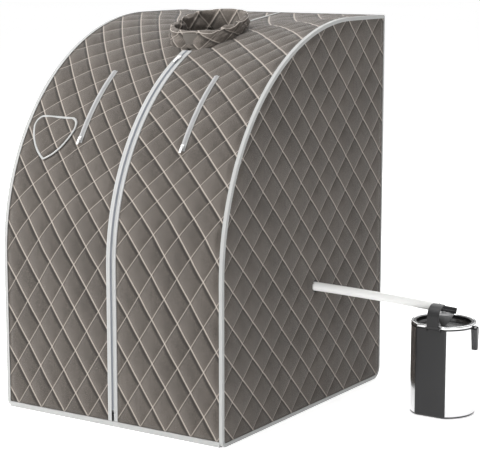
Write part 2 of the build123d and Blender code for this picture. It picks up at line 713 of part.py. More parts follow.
with BuildPart() as pocket_binding:
    arch_shell(-1, 0, POCKET_TRIM_PROUD, 0)
    add(pocket_prism(0), mode=Mode.INTERSECT)
    add(pocket_prism(POCKET_TRIM), mode=Mode.SUBTRACT)
save(pocket_binding, "pocket_binding")

# ---- Hoops, their cloth sleeves, and the rods between them ----
def outline_ring(x, half, depth):
    """A ring that follows the hoop's line, half each side of it, from x by depth, as a free solid."""
    with BuildPart() as ring:
        extrude(outline_face(x, HOOP_INSET - half, HOOP_CORNERS), amount=depth)
        extrude(outline_face(x, HOOP_INSET + half, HOOP_CORNERS), amount=depth, mode=Mode.SUBTRACT)
    return ring.part


sleeve_depth = 2 * HOOP_RADIUS + 2 * SLEEVE
with BuildPart() as hoop_sleeves:
    for sign in SIGNS.values():
        wall = sign * (SIDE - PANEL)
        add(outline_ring(wall, SLEEVE_HALF, -sign * sleeve_depth))
        add(outline_ring(wall, SLEEVE_HALF - SLEEVE, -sign * (sleeve_depth - SLEEVE)), mode=Mode.SUBTRACT)
save(hoop_sleeves, "hoop_sleeves")

with BuildPart() as hoops:
    for sign in SIGNS.values():
        middle = sign * (SIDE - PANEL - HOOP_RADIUS - SLEEVE / 2)
        path = outline_face(middle, HOOP_INSET, HOOP_CORNERS).outer_wire()
        with BuildSketch(Plane(path @ 0, z_dir=path % 0)):
            Circle(HOOP_RADIUS)
        sweep(path=path)
save(hoops, "hoops")

rod_low = TRIM + ROD_INSET
rod_places = (
    (FRONT + ROD_INSET, rod_low),
    (REAR - ROD_INSET, rod_low),
    (REAR - ROD_INSET, HEIGHT / 2),
    (REAR - ROD_INSET, HEIGHT - ROD_INSET),
)
with BuildPart() as spreader_rods:
    with BuildSketch(Plane.YZ.offset(PANEL + SOCKET_WALL - SIDE)):
        with Locations(*rod_places):
            Circle(ROD_RADIUS)
    extrude(amount=WIDTH - 2 * PANEL - 2 * SOCKET_WALL)
save(spreader_rods, "spreader_rods")

with BuildPart() as rod_sockets:
    for sign in SIGNS.values():
        with BuildSketch(Plane.YZ.offset(sign * (SIDE - PANEL))):
            with Locations(*rod_places):
                Circle(ROD_RADIUS + ROD_CLEARANCE + SOCKET_WALL)
        extrude(amount=-sign * SOCKET_DEPTH)
        with BuildSketch(Plane.YZ.offset(sign * (SIDE - PANEL - SOCKET_WALL))):
            with Locations(*rod_places):
                Circle(ROD_RADIUS + ROD_CLEARANCE)
        extrude(amount=-sign * SOCKET_DEPTH, mode=Mode.SUBTRACT)
save(rod_sockets, "rod_sockets")

# ---- Steam hose, and the diffuser on its end inside the cabin ----
bends = []
for before, corner, after in zip(HOSE_ROUTE, HOSE_ROUTE[1:], HOSE_ROUTE[2:]):
    run_in = Vector(*corner) - Vector(*before)
    run_out = Vector(*after) - Vector(*corner)
    half_turn = radians(run_in.get_angle(run_out)) / 2
    bends.append(HOSE_BEND_SHARE * min(run_in.length, run_out.length) / tan(half_turn))
print("steam hose bend radii, mm:", [round(radius) for radius in bends])

with BuildPart() as steam_hose:
    with BuildLine() as hose_line:
        FilletPolyline(*HOSE_ROUTE, radius=min(bends))
    with BuildSketch(Plane(hose_start, z_dir=-hose_out)):
        Circle(HOSE_RADIUS)
        Circle(HOSE_RADIUS - HOSE_WALL, mode=Mode.SUBTRACT)
    sweep()
save(steam_hose, "steam_hose")
hose_length = hose_line.wires()[0].length
hose_section = pi * (HOSE_RADIUS**2 - (HOSE_RADIUS - HOSE_WALL) ** 2)
print("steam hose length, mm:", round(hose_length, 1))
print("steam hose volume over section times length:",
      round(steam_hose.part.volume / (hose_length * hose_section), 4))

with BuildPart() as steam_diffuser:
    inside = Plane(hose_end, z_dir=hose_in)
    with BuildSketch(inside.offset(-DIFFUSER_SLEEVE)):
        Circle(DIFFUSER_RADIUS)
    extrude(amount=DIFFUSER_SLEEVE + DIFFUSER_LENGTH)
    fillet(steam_diffuser.edges(), DIFFUSER_WALL)
    with BuildSketch(inside.offset(-DIFFUSER_SLEEVE)):
        Circle(HOSE_RADIUS + DIFFUSER_CLEARANCE)
    extrude(amount=DIFFUSER_SLEEVE, mode=Mode.SUBTRACT)
    with BuildSketch(inside):
        Circle(DIFFUSER_INLET)
    extrude(amount=DIFFUSER_WALL, mode=Mode.SUBTRACT)
    with BuildSketch(inside.offset(DIFFUSER_WALL)):
        Circle(DIFFUSER_RADIUS - DIFFUSER_WALL)
    extrude(amount=DIFFUSER_LENGTH - 2 * DIFFUSER_WALL, mode=Mode.SUBTRACT)
    with Locations(inside.offset(DIFFUSER_LENGTH / 2)):
        with PolarLocations(DIFFUSER_RADIUS, DIFFUSER_SLOTS):
            Box(3 * DIFFUSER_WALL, DIFFUSER_SLOT_WIDTH, DIFFUSER_SLOT_LENGTH, mode=Mode.SUBTRACT)
save(steam_diffuser, "steam_diffuser")

# ---- Steamer: body ----
FACET = sqrt(POT_RADIUS**2 - FACET_HALF**2)  # from the pot's axis to its flat front
facet_y = POT_Y - FACET
base_top = FEET_HEIGHT + BASE_HEIGHT
rim_low = POT_HEIGHT - RIM_HEIGHT
gasket_low = rim_low - GASKET_HEIGHT


def pot_face(z, inset=0.0, flat_inset=None):
    """The pot's section at a height: a circle with a flat front, drawn in all round."""
    flat = FACET - (inset if flat_inset is None else flat_inset)
    with BuildSketch(Plane((POT_X, POT_Y, z))) as section:
        Circle(POT_RADIUS - inset)
        with Locations((0, -flat)):
            Rectangle(2 * POT_RADIUS, 2 * POT_RADIUS, align=(Align.CENTER, Align.MIN), mode=Mode.INTERSECT)
    return section.sketch.face()


def pot_ring(low, high, outer, inner):
    """Adds a ring that follows the pot's section."""
    extrude(pot_face(low, outer), amount=high - low)
    extrude(pot_face(low, inner), amount=high - low, mode=Mode.SUBTRACT)


with BuildPart() as steamer_feet:
    with BuildSketch(Plane((POT_X, POT_Y, 0))):
        with PolarLocations(FEET_CIRCLE, 4, start_angle=45):
            Circle(FEET_RADIUS)
    extrude(amount=FEET_HEIGHT)
save(steamer_feet, "steamer_feet")

board_top = BOARD_Z + BOARD_THICKNESS
post_places = GridLocations(BOARD_LENGTH - 2 * POST_INSET, BOARD_WIDTH - 2 * POST_INSET, 2, 2)
with BuildPart() as steamer_base:
    extrude(pot_face(FEET_HEIGHT), amount=BASE_HEIGHT)
    with BuildSketch(Plane((POT_X, POT_Y, base_top))):
        with post_places:
            Circle(POST_RADIUS)
    extrude(amount=BOARD_Z - base_top)
    with BuildSketch(Plane((POT_X, POT_Y, BOARD_Z))):
        with post_places:
            Circle(SCREW_RADIUS + SCREW_CLEARANCE)
    extrude(amount=-SCREW_LENGTH, mode=Mode.SUBTRACT)
save(steamer_base, "steamer_base")

with BuildPart() as control_board:
    with Locations((POT_X, POT_Y, BOARD_Z)):
        Box(BOARD_LENGTH, BOARD_WIDTH, BOARD_THICKNESS, align=(Align.CENTER, Align.CENTER, Align.MIN))
    with BuildSketch(Plane((POT_X, POT_Y, board_top))):
        with post_places:
            Circle(SCREW_RADIUS + SCREW_CLEARANCE)
    extrude(amount=-BOARD_THICKNESS, mode=Mode.SUBTRACT)
    with Locations((POT_X, POT_Y, board_top)):
        Box(*RELAY, align=(Align.CENTER, Align.CENTER, Align.MIN))
    with Locations((POT_X - PART_SPACING, POT_Y, board_top), (POT_X + PART_SPACING, POT_Y, board_top)):
        Cylinder(CAPACITOR_RADIUS, CAPACITOR_HEIGHT, align=(Align.CENTER, Align.CENTER, Align.MIN))
save(control_board, "control_board")

with BuildPart() as board_screws:
    with BuildSketch(Plane((POT_X, POT_Y, board_top))):
        with post_places:
            Circle(SCREW_HEAD)
    extrude(amount=SCREW_HEAD_HEIGHT)
    with BuildSketch(Plane((POT_X, POT_Y, board_top))):
        with post_places:
            Circle(SCREW_RADIUS)
    extrude(amount=-SCREW_LENGTH)
save(board_screws, "board_screws")

shell_flat = FRONT_PLATE
inlet_y = POT_Y + POT_RADIUS
with BuildPart() as steamer_shell:
    extrude(pot_face(base_top, 0, shell_flat), amount=gasket_low - base_top)
    extrude(pot_face(base_top, SHELL_WALL, shell_flat + SHELL_WALL), amount=gasket_low - base_top,
            mode=Mode.SUBTRACT)
    with Locations((POT_X, inlet_y, INLET_Z)):
        Box(INLET_WIDTH + 2 * POT_GAP, INLET_DEPTH, INLET_HEIGHT + 2 * POT_GAP, mode=Mode.SUBTRACT)
save(steamer_shell, "steamer_shell")

with BuildPart() as power_inlet:
    with Locations((POT_X, inlet_y, INLET_Z)):
        Box(INLET_WIDTH, INLET_DEPTH, INLET_HEIGHT, align=(Align.CENTER, Align.MAX, Align.CENTER))
        Box(INLET_WIDTH + 2 * INLET_LIP, INLET_LIP, INLET_HEIGHT + 2 * INLET_LIP,
            align=(Align.CENTER, Align.MIN, Align.CENTER))
    with Locations((POT_X, inlet_y + INLET_LIP, INLET_Z)):
        Box(INLET_WIDTH - 2 * INLET_WALL, INLET_DEPTH - INLET_WALL, INLET_HEIGHT - 2 * INLET_WALL,
            align=(Align.CENTER, Align.MAX, Align.CENTER), mode=Mode.SUBTRACT)
save(power_inlet, "power_inlet")

with BuildPart() as inlet_pins:
    with BuildSketch(Plane.XZ.offset(INLET_DEPTH - INLET_WALL - INLET_LIP - inlet_y)):
        with Locations((POT_X - INLET_PIN_SPACING / 2, INLET_Z), (POT_X + INLET_PIN_SPACING / 2, INLET_Z)):
            Circle(INLET_PIN)
    extrude(amount=-(INLET_DEPTH - 2 * INLET_WALL))
save(inlet_pins, "inlet_pins")

# ---- Steamer: tank, heater and lid ----
mouth = TANK_INSET + TANK_WALL
lid_top = POT_HEIGHT - LID_DEPTH
lid_low = lid_top - LID_THICKNESS
ledge_top = lid_low - SEAL_HEIGHT
flange_low = gasket_low - TANK_FLANGE
with BuildPart() as tank_ledge:
    pot_ring(ledge_top - TANK_FLANGE, ledge_top, mouth, mouth + TANK_LEDGE)

with BuildPart() as water_tank:
    extrude(pot_face(TANK_BOTTOM, TANK_INSET), amount=gasket_low - TANK_BOTTOM)
    pot_flange = pot_face(flange_low, SHELL_WALL + POT_GAP, shell_flat + SHELL_WALL + POT_GAP)
    extrude(pot_flange, amount=TANK_FLANGE)
    extrude(pot_face(TANK_BOTTOM + TANK_WALL, mouth), amount=gasket_low, mode=Mode.SUBTRACT)
    add(tank_ledge.part)
save(water_tank, "water_tank")

with BuildPart() as heating_plate:
    with Locations((POT_X, POT_Y, TANK_BOTTOM)):
        Cylinder(HEATER_RADIUS, HEATER_THICKNESS, align=(Align.CENTER, Align.CENTER, Align.MAX))
save(heating_plate, "heating_plate")

with BuildPart() as thermal_cutout:
    with Locations((POT_X, POT_Y, TANK_BOTTOM - HEATER_THICKNESS)):
        Cylinder(CUTOUT_RADIUS, CUTOUT_HEIGHT, align=(Align.CENTER, Align.CENTER, Align.MAX))
save(thermal_cutout, "thermal_cutout")

with BuildPart() as rim_gasket:
    pot_ring(gasket_low, rim_low, GASKET_INSET, mouth)
save(rim_gasket, "rim_gasket")

with BuildPart() as rim_ring:
    pot_ring(rim_low, POT_HEIGHT, 0, RIM_WIDTH)
    fillet(rim_ring.edges().group_by(Axis.Z)[-1], RIM_ROUND)
save(rim_ring, "rim_ring")

with BuildPart() as inner_bezel:
    pot_ring(rim_low, POT_HEIGHT - BEZEL_DROP, RIM_WIDTH + POT_GAP, RIM_WIDTH + POT_GAP + BEZEL_WALL)
    fillet(inner_bezel.edges().group_by(Axis.Z)[-1], BEZEL_DROP)
save(inner_bezel, "inner_bezel")

with BuildPart() as lid_seal:
    pot_ring(ledge_top, lid_low, mouth + POT_GAP, mouth + POT_GAP + SEAL_WIDTH)
save(lid_seal, "lid_seal")

with BuildPart() as steamer_lid:
    extrude(pot_face(lid_low, mouth + POT_GAP), amount=LID_THICKNESS)
    with Locations((POT_X, POT_Y, lid_low)):
        Cylinder(RISER_BORE, LID_THICKNESS, align=(Align.CENTER, Align.CENTER, Align.MIN), mode=Mode.SUBTRACT)
save(steamer_lid, "steamer_lid")

# ---- Steamer: riser and barrel that the hose ends on ----
barrel_plane = Plane(hose_start, z_dir=hose_out)
past_start = (POT_X - hose_start.X) / hose_out.X
barrel_z = hose_start.Z + past_start * hose_out.Z
barrel_length = past_start + BARREL_REACH
riser_top = barrel_z - HOSE_RADIUS - CUFF_GAP
with BuildPart() as barrel_core:
    with BuildSketch(barrel_plane):
        Circle(BARREL_RADIUS)
    extrude(amount=barrel_length)

with BuildPart() as steam_riser:
    with Locations((POT_X, POT_Y, lid_top)):
        Cone(RISER_LOW_RADIUS, RISER_TOP_RADIUS, riser_top - lid_top,
             align=(Align.CENTER, Align.CENTER, Align.MIN))
    with Locations((POT_X, POT_Y, riser_top)):
        Cylinder(RISER_LOW_RADIUS, HOSE_RADIUS, align=(Align.CENTER, Align.CENTER, Align.MIN))
    add(barrel_core.part, mode=Mode.SUBTRACT)
    with Locations((POT_X, POT_Y, lid_top)):
        Cylinder(RISER_BORE, HEIGHT, align=(Align.CENTER, Align.CENTER, Align.MIN), mode=Mode.SUBTRACT)
save(steam_riser, "steam_riser")

with BuildPart() as outlet_barrel:
    add(barrel_core.part)
    fillet(outlet_barrel.edges().sort_by(Axis.X)[-1], BARREL_ROUND)
    with BuildSketch(barrel_plane):
        Circle(HOSE_RADIUS)
    extrude(amount=CUFF_LENGTH)
    with BuildSketch(barrel_plane):
        Circle(BARREL_BORE)
    extrude(amount=barrel_length - BARREL_ROUND, mode=Mode.SUBTRACT)
    with Locations((POT_X, POT_Y, barrel_z)):
        Cylinder(RISER_BORE, 2 * BARREL_RADIUS, align=(Align.CENTER, Align.CENTER, Align.MAX),
                 mode=Mode.SUBTRACT)
save(outlet_barrel, "outlet_barrel")

# ---- Steamer: front panel, latch and side grip ----
pivot_y = facet_y - KNUCKLE_RADIUS - KNUCKLE_GAP
lug_spans = (
    (LATCH_LEFT - KNUCKLE_GAP - LUG_WIDTH, LATCH_LEFT - KNUCKLE_GAP),
    (LATCH_RIGHT + KNUCKLE_GAP, LATCH_RIGHT + KNUCKLE_GAP + LUG_WIDTH),
)
with BuildPart() as steamer_front_panel:
    extrude(pot_face(base_top), amount=gasket_low - base_top)
    extrude(pot_face(base_top, -SHELL_WALL, shell_flat), amount=gasket_low - base_top, mode=Mode.SUBTRACT)
    for lug_low, lug_high in lug_spans:
        with BuildSketch(Plane.YZ.offset(lug_low)):
            with Locations((facet_y, LATCH_PIVOT_Z)):
                Rectangle(facet_y - pivot_y, LUG_DROP, align=(Align.MAX, Align.MAX))
            with Locations((pivot_y, LATCH_PIVOT_Z)):
                Circle(KNUCKLE_RADIUS)
        extrude(amount=lug_high - lug_low)
    with BuildSketch(Plane.YZ.offset(lug_spans[0][0])):
        with Locations((pivot_y, LATCH_PIVOT_Z)):
            Circle(PIN_RADIUS + PIN_CLEARANCE)
    extrude(amount=lug_spans[1][1] - lug_spans[0][0], mode=Mode.SUBTRACT)
save(steamer_front_panel, "steamer_front_panel")

with BuildPart() as latch_pin:
    with BuildSketch(Plane.YZ.offset(lug_spans[0][0])):
        with Locations((pivot_y, LATCH_PIVOT_Z)):
            Circle(PIN_RADIUS)
    extrude(amount=lug_spans[1][1] - lug_spans[0][0])
save(latch_pin, "latch_pin")

with BuildPart() as lid_latch:
    latch_top = LATCH_PIVOT_Z + LATCH_HEIGHT
    with BuildSketch(Plane.YZ.offset(LATCH_LEFT)):
        with BuildLine():
            FilletPolyline((pivot_y, LATCH_PIVOT_Z), (pivot_y, latch_top),
                           (pivot_y + LATCH_LIP, latch_top + LATCH_RISE), radius=LATCH_BEND)
        trace(line_width=LATCH_THICKNESS)
        with Locations((pivot_y, LATCH_PIVOT_Z)):
            Circle(KNUCKLE_RADIUS)
            Circle(PIN_RADIUS + PIN_CLEARANCE, mode=Mode.SUBTRACT)
    extrude(amount=LATCH_RIGHT - LATCH_LEFT)
save(lid_latch, "lid_latch")

grip_dir = Vector(cos(radians(GRIP_ANGLE)), sin(radians(GRIP_ANGLE)), 0)
grip_plane = Plane(Vector(POT_X, POT_Y, 0) + grip_dir * POT_RADIUS, z_dir=grip_dir)
with BuildPart() as side_grip:
    with BuildSketch(Plane(grip_plane.origin, x_dir=(0, 0, 1), z_dir=grip_dir)):
        with BuildLine():
            half = GRIP_WIDTH / 2
            RadiusArc((GRIP_TOP - half, -half), (GRIP_TOP - half, half), -half)
            Polyline((GRIP_TOP - half, -half), (GRIP_BOTTOM, -GRIP_ROUND), (GRIP_BOTTOM, GRIP_ROUND),
                     (GRIP_TOP - half, half))
        make_face()
    extrude(amount=GRIP_REACH, both=True)
    fillet(side_grip.faces().sort_by(Axis(grip_plane.origin, grip_dir))[-1].edges(), GRIP_ROUND)
    with Locations((POT_X, POT_Y, 0)):
        Cylinder(POT_RADIUS, HEIGHT, align=(Align.CENTER, Align.CENTER, Align.MIN), mode=Mode.SUBTRACT)
save(side_grip, "side_grip")

# ---- Places that the joints use, in millimetres ----
tab_hinge = collar_top.from_local_coords(Vector(*round_collar(tab_inner, tab_high), 0))
print("doors turn at x, y:", door_edge, FRONT)
print("main zip arc:", [round(value, 3) for value in zip_arc])
for name, arc in arm_arcs.items():
    print("arm zip arc:", name, [round(value, 3) for value in arc])
for name, hinge in hinges.items():
    print("pull hinge:", name, [round(value, 3) for value in hinge])
print("collar tab hinge and axis:", [round(value, 3) for value in (*tab_hinge, *collar_axis)])
print("latch pivot y, z:", round(pivot_y, 3), LATCH_PIVOT_Z)
print(len(written), "pieces written")
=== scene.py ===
"""Portable steam sauna: cloth, zips, collar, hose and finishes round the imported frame. Metres."""

import json
import math

import bmesh
import bpy
import numpy as np
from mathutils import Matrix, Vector


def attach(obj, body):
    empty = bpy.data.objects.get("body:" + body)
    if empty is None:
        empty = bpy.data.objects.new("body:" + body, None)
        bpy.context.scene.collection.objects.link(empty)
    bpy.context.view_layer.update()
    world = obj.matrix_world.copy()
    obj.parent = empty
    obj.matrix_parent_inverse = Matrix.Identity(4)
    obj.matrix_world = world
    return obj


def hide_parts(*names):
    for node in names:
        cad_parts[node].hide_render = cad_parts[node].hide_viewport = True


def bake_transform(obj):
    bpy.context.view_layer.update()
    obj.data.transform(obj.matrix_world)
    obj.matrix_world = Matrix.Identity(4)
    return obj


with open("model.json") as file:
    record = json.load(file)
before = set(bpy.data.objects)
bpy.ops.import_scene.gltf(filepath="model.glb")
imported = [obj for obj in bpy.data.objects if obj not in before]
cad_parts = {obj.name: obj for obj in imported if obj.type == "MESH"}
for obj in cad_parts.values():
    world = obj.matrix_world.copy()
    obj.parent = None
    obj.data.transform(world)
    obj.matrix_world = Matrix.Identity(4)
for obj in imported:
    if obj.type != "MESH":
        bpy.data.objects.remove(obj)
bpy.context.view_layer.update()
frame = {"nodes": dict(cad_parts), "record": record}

# ---- Sizes shared with the frame ----
WIDTH = 0.658
DEPTH = 0.768
HEIGHT = 0.980
ARCH_RADIUS = 0.590
ZIP_RADIUS = 0.562
PANEL = 0.005
ZIP_X = 0.008
ZIP_SLOT = 0.006
ZIP_LAND = 0.016
ZIP_TAPE_WIDTH = 0.014
TAPE = 0.0012
COIL_GROOVE = 0.0006
COIL_HEIGHT = 0.0018
ZIP_STOP = 0.045
ZIP_END = math.radians(65)
SILL_HEIGHT = 0.0135
ARM_X = 0.155
COLLAR_Y = 0.038
COLLAR_TILT = math.radians(15.5)
COLLAR_RADIUS = 0.098
COLLAR_WALL = 0.011
COLLAR_RISE = 0.0385
TRIM = 0.0015
TRIM_WIDTH = 0.0075
POCKET_X = -0.2385
POCKET_TOP = 0.739
POCKET_WIDTH = 0.131
POCKET_HEIGHT = 0.104
POCKET_TRIM = 0.004
POCKET_CORNER = 0.022
POCKET_SHOULDER = 0.027
HOSE_RADIUS = 0.011
HOSE_ROUTE = (
    (0.6064, 0.1766, 0.2669),
    (0.5079, 0.1267, 0.2857),
    (0.3972, 0.0705, 0.3043),
    (0.2987, 0.0206, 0.3187),
)

FRONT = -DEPTH / 2
REAR = DEPTH / 2
SIDE = WIDTH / 2
STRAIGHT = HEIGHT - ARCH_RADIUS
ARCH_LENGTH = ARCH_RADIUS * math.pi / 2
ROOF_LENGTH = DEPTH - ARCH_RADIUS
CLOTH_LENGTH = STRAIGHT + ARCH_LENGTH + ROOF_LENGTH
TURN = 2 * math.pi


def add_object(name, data):
    """A new object, linked into the scene."""
    thing = bpy.data.objects.new(name, data)
    bpy.context.collection.objects.link(thing)
    return thing


# ---- Camera ----
CAMERA_PLACE = Vector((2.370, -3.422, 1.163))
CAMERA_YAW = math.radians(33.240)
CAMERA_PITCH = math.radians(9.778)
FOCAL = 121.8
SENSOR = 36.0


def make_camera():
    """The photograph's camera."""
    data = bpy.data.cameras.new("camera")
    data.lens = FOCAL
    data.sensor_width = SENSOR
    camera = add_object("camera", data)
    camera.location = CAMERA_PLACE
    camera.rotation_euler = (math.pi / 2 - CAMERA_PITCH, 0, CAMERA_YAW)
    bpy.context.scene.camera = camera


make_camera()


# ---- Materials ----
MIX_SHARE, MIX_FROM, MIX_TO, MIX_RESULT = 0, 6, 7, 2  # a colour Mix node's sockets


class Nodes:
    """A short way to build a material's nodes."""

    def __init__(self, name, colour, roughness, metallic=0.0):
        self.material = bpy.data.materials.new(name)
        self.material.use_nodes = True
        self.tree = self.material.node_tree
        self.shader = self.tree.nodes["Principled BSDF"]
        self.set("Base Color", (*colour, 1))
        self.set("Roughness", roughness)
        self.set("Metallic", metallic)

    def set(self, socket, value):
        """Sets one of the shader's own sockets."""
        self.shader.inputs[socket].default_value = value

    def add(self, kind):
        return self.tree.nodes.new(kind)

    def link(self, start, end):
        self.tree.links.new(start, end)

    def feed(self, socket, value):
        """Sets a socket to a number or a colour, or links another node's output to it."""
        if isinstance(value, (int, float)):
            socket.default_value = value
        elif isinstance(value, tuple):
            socket.default_value = (*value, 1)
        else:
            self.link(value, socket)

    def math(self, operation, *values, clamp=False):
        node = self.add("ShaderNodeMath")
        node.operation = operation
        node.use_clamp = clamp
        for socket, value in zip(node.inputs, values):
            self.feed(socket, value)
        return node.outputs[0]

    def wave(self, value, rate):
        """A sine wave, with rate in radians for each unit of the value."""
        return self.math("SINE", self.math("MULTIPLY", value, rate))

    def ramp(self, value, start, gain):
        """0 up to start, then rising by gain for each unit, up to 1."""
        return self.math("MULTIPLY", self.math("SUBTRACT", value, start), gain, clamp=True)

    def mix(self, share, a, b):
        """The colour that lies a share of the way from a to b."""
        node = self.add("ShaderNodeMix")
        node.data_type = "RGBA"
        for index, value in ((MIX_SHARE, share), (MIX_FROM, a), (MIX_TO, b)):
            self.feed(node.inputs[index], value)
        return node.outputs[MIX_RESULT]

    def place(self):
        return self.add("ShaderNodeTexCoord").outputs["Object"]

    def noise(self, scale, detail, vector=None, roughness=0.5):
        node = self.add("ShaderNodeTexNoise")
        node.inputs["Scale"].default_value = scale
        node.inputs["Detail"].default_value = detail
        node.inputs["Roughness"].default_value = roughness
        self.link(vector or self.place(), node.inputs["Vector"])
        return node.outputs["Fac"]

    def streaks(self, scales):
        """Noise drawn out along Z, with a scale for each axis."""
        place = self.add("ShaderNodeMapping")
        place.inputs["Scale"].default_value = scales
        self.link(self.place(), place.inputs["Vector"])
        return self.noise(1.0, 3.0, place.outputs[0])

    def split(self, vector):
        """A vector's x, y and z."""
        node = self.add("ShaderNodeSeparateXYZ")
        self.link(vector, node.inputs[0])
        return tuple(node.outputs)

    def uv(self, name):
        """The two coordinates of a UV layer."""
        node = self.add("ShaderNodeUVMap")
        node.uv_map = name
        return self.split(node.outputs[0])[:2]

    def bump(self, height, distance, strength):
        node = self.add("ShaderNodeBump")
        node.inputs["Strength"].default_value = strength
        node.inputs["Distance"].default_value = distance
        self.link(height, node.inputs["Height"])
        self.link(node.outputs[0], self.shader.inputs["Normal"])

    def colour(self, socket):
        self.link(socket, self.shader.inputs["Base Color"])

    def rough(self, socket, low, high):
        """Lets the roughness follow a value from 0 to 1."""
        node = self.add("ShaderNodeMapRange")
        node.inputs["To Min"].default_value = low
        node.inputs["To Max"].default_value = high
        self.link(socket, node.inputs["Value"])
        self.link(node.outputs[0], self.shader.inputs["Roughness"])


def scaled(colour, factor):
    """A colour made lighter or darker."""
    return tuple(c * factor for c in colour)


WEAVE_RATE = 4200.0  # radians for each metre of cloth
STITCH_RATE = 30.0 * 6.283  # radians for each cell of the quilting, 30 stitches
CLOTH_STREAKS = (130.0, 130.0, 5.0)
METAL_STREAKS = (300.0, 300.0, 6.0)


def line_share(n, phase, half):
    """1 on a quilting line and 0 away from it, half wide in phase."""
    nearest = n.math("ABSOLUTE", n.math("SUBTRACT", phase, n.math("ROUND", phase)))
    return n.math("SUBTRACT", 1.0, n.math("DIVIDE", nearest, half, clamp=True), clamp=True)


def stitches(n, phase, level, swing):
    """How much thread shows along a quilting line: level, more or less by swing."""
    return n.math("ADD", level, n.math("MULTIPLY", n.wave(phase, STITCH_RATE), swing))


def quilted_cloth(name, colour, light, bright=0.040, dim=0.030):
    """Quilted cloth with painted light and shade in its cells: UV "quilt" counts the two sets of stitch
    lines, "cut" is in metres.
    """
    n = Nodes(name, colour, 0.72)
    n.set("Specular IOR Level", 0.22)
    n.set("Sheen Weight", 0.12)
    n.set("Sheen Roughness", 0.45)
    a, b = n.uv("quilt")
    u, v = n.uv("cut")
    weave = n.math("MULTIPLY", n.wave(u, WEAVE_RATE), n.wave(v, WEAVE_RATE))
    blotch = n.noise(scale=7.0, detail=5.0, roughness=0.62)
    streak = n.streaks(CLOTH_STREAKS)
    grain = n.noise(scale=620.0, detail=2.0)
    base = n.mix(n.ramp(blotch, start=0.36, gain=3.2), colour, light)
    base = n.mix(n.ramp(streak, start=0.48, gain=1.3), base, scaled(colour, 0.62))
    base = n.mix(n.ramp(grain, start=0.46, gain=4.0), base, scaled(light, 1.3))
    # Painted light and shade: each cell is lighter along one side, and dark beside its stitch lines.
    lit = n.math("SUBTRACT", 0.5, n.math("FRACT", a), clamp=True)
    base = n.mix(n.math("MULTIPLY", lit, 0.9), base, scaled(light, 1.5))
    shade = line_share(n, n.math("ADD", a, bright * 2.2), bright * 2.6)
    base = n.mix(n.math("MULTIPLY", shade, 0.75), base, scaled(colour, 0.22))
    # Painted shade on one side of each stitch line of the second set.
    painted_fold_shade = line_share(n, n.math("ADD", b, -dim * 1.8), dim * 1.8)
    base = n.mix(n.math("MULTIPLY", painted_fold_shade, 0.4), base, scaled(colour, 0.3))
    thread_a = n.math("POWER", line_share(n, a, bright), 0.7)
    thread_b = n.math("MULTIPLY", line_share(n, b, dim), 0.8)
    stitch_a = n.math("MULTIPLY", thread_a, stitches(n, b, level=0.72, swing=0.28), clamp=True)
    stitch_b = n.math("MULTIPLY", thread_b, stitches(n, a, level=0.66, swing=0.34), clamp=True)
    n.colour(n.mix(stitch_a, n.mix(stitch_b, base, THREAD), THREAD))
    relief = n.math("ADD", n.math("MULTIPLY", weave, 0.35), n.math("ADD", streak, stitch_a))
    n.bump(relief, distance=0.0006, strength=0.6)
    return n.material


def woven_tape(name, colour, rate):
    """Webbing: ribs both ways, rate radians for each metre, with a little dirt."""
    n = Nodes(name, colour, 0.75)
    n.set("Sheen Weight", 0.2)
    x, y, z = n.split(n.place())
    level = n.math("ADD", x, y)
    ribs = n.math("MULTIPLY", n.wave(n.math("ADD", level, z), rate),
                  n.wave(n.math("SUBTRACT", level, z), rate))
    dirt = n.noise(scale=60.0, detail=4.0)
    raised = n.math("MULTIPLY", n.math("ADD", ribs, 1.0), 0.5, clamp=True)
    base = n.mix(raised, scaled(colour, 0.72), colour)
    n.colour(n.mix(n.ramp(dirt, start=0.4, gain=1.6), base, scaled(colour, 0.84)))
    n.bump(ribs, distance=0.0004, strength=0.7)
    return n.material


def moulded(name, colour, roughness, coat=0.0, grain=900.0, depth=0.00006):
    """Moulded plastic or rubber with a fine grain."""
    n = Nodes(name, colour, roughness)
    n.set("Coat Weight", coat)
    n.set("Coat Roughness", 0.06)
    smear = n.noise(scale=14.0, detail=4.0)
    n.rough(smear, roughness * 0.8, min(1.0, roughness * 1.25))
    paler = tuple(min(1, c * 1.25 + 0.004) for c in colour)
    n.colour(n.mix(n.math("MULTIPLY", smear, 0.5, clamp=True), colour, paler))
    n.bump(n.noise(grain, 2.0), depth, strength=0.5)
    return n.material


def metal(name, colour, roughness):
    """Polished metal with fine lines and a few smears."""
    n = Nodes(name, colour, roughness, metallic=1.0)
    smear = n.noise(scale=22.0, detail=4.0)
    n.rough(smear, roughness * 0.75, roughness * 1.5)
    n.colour(n.mix(n.math("MULTIPLY", smear, 0.3, clamp=True), colour, scaled(colour, 0.88)))
    n.bump(n.streaks(METAL_STREAKS), distance=0.00002, strength=0.25)
    return n.material


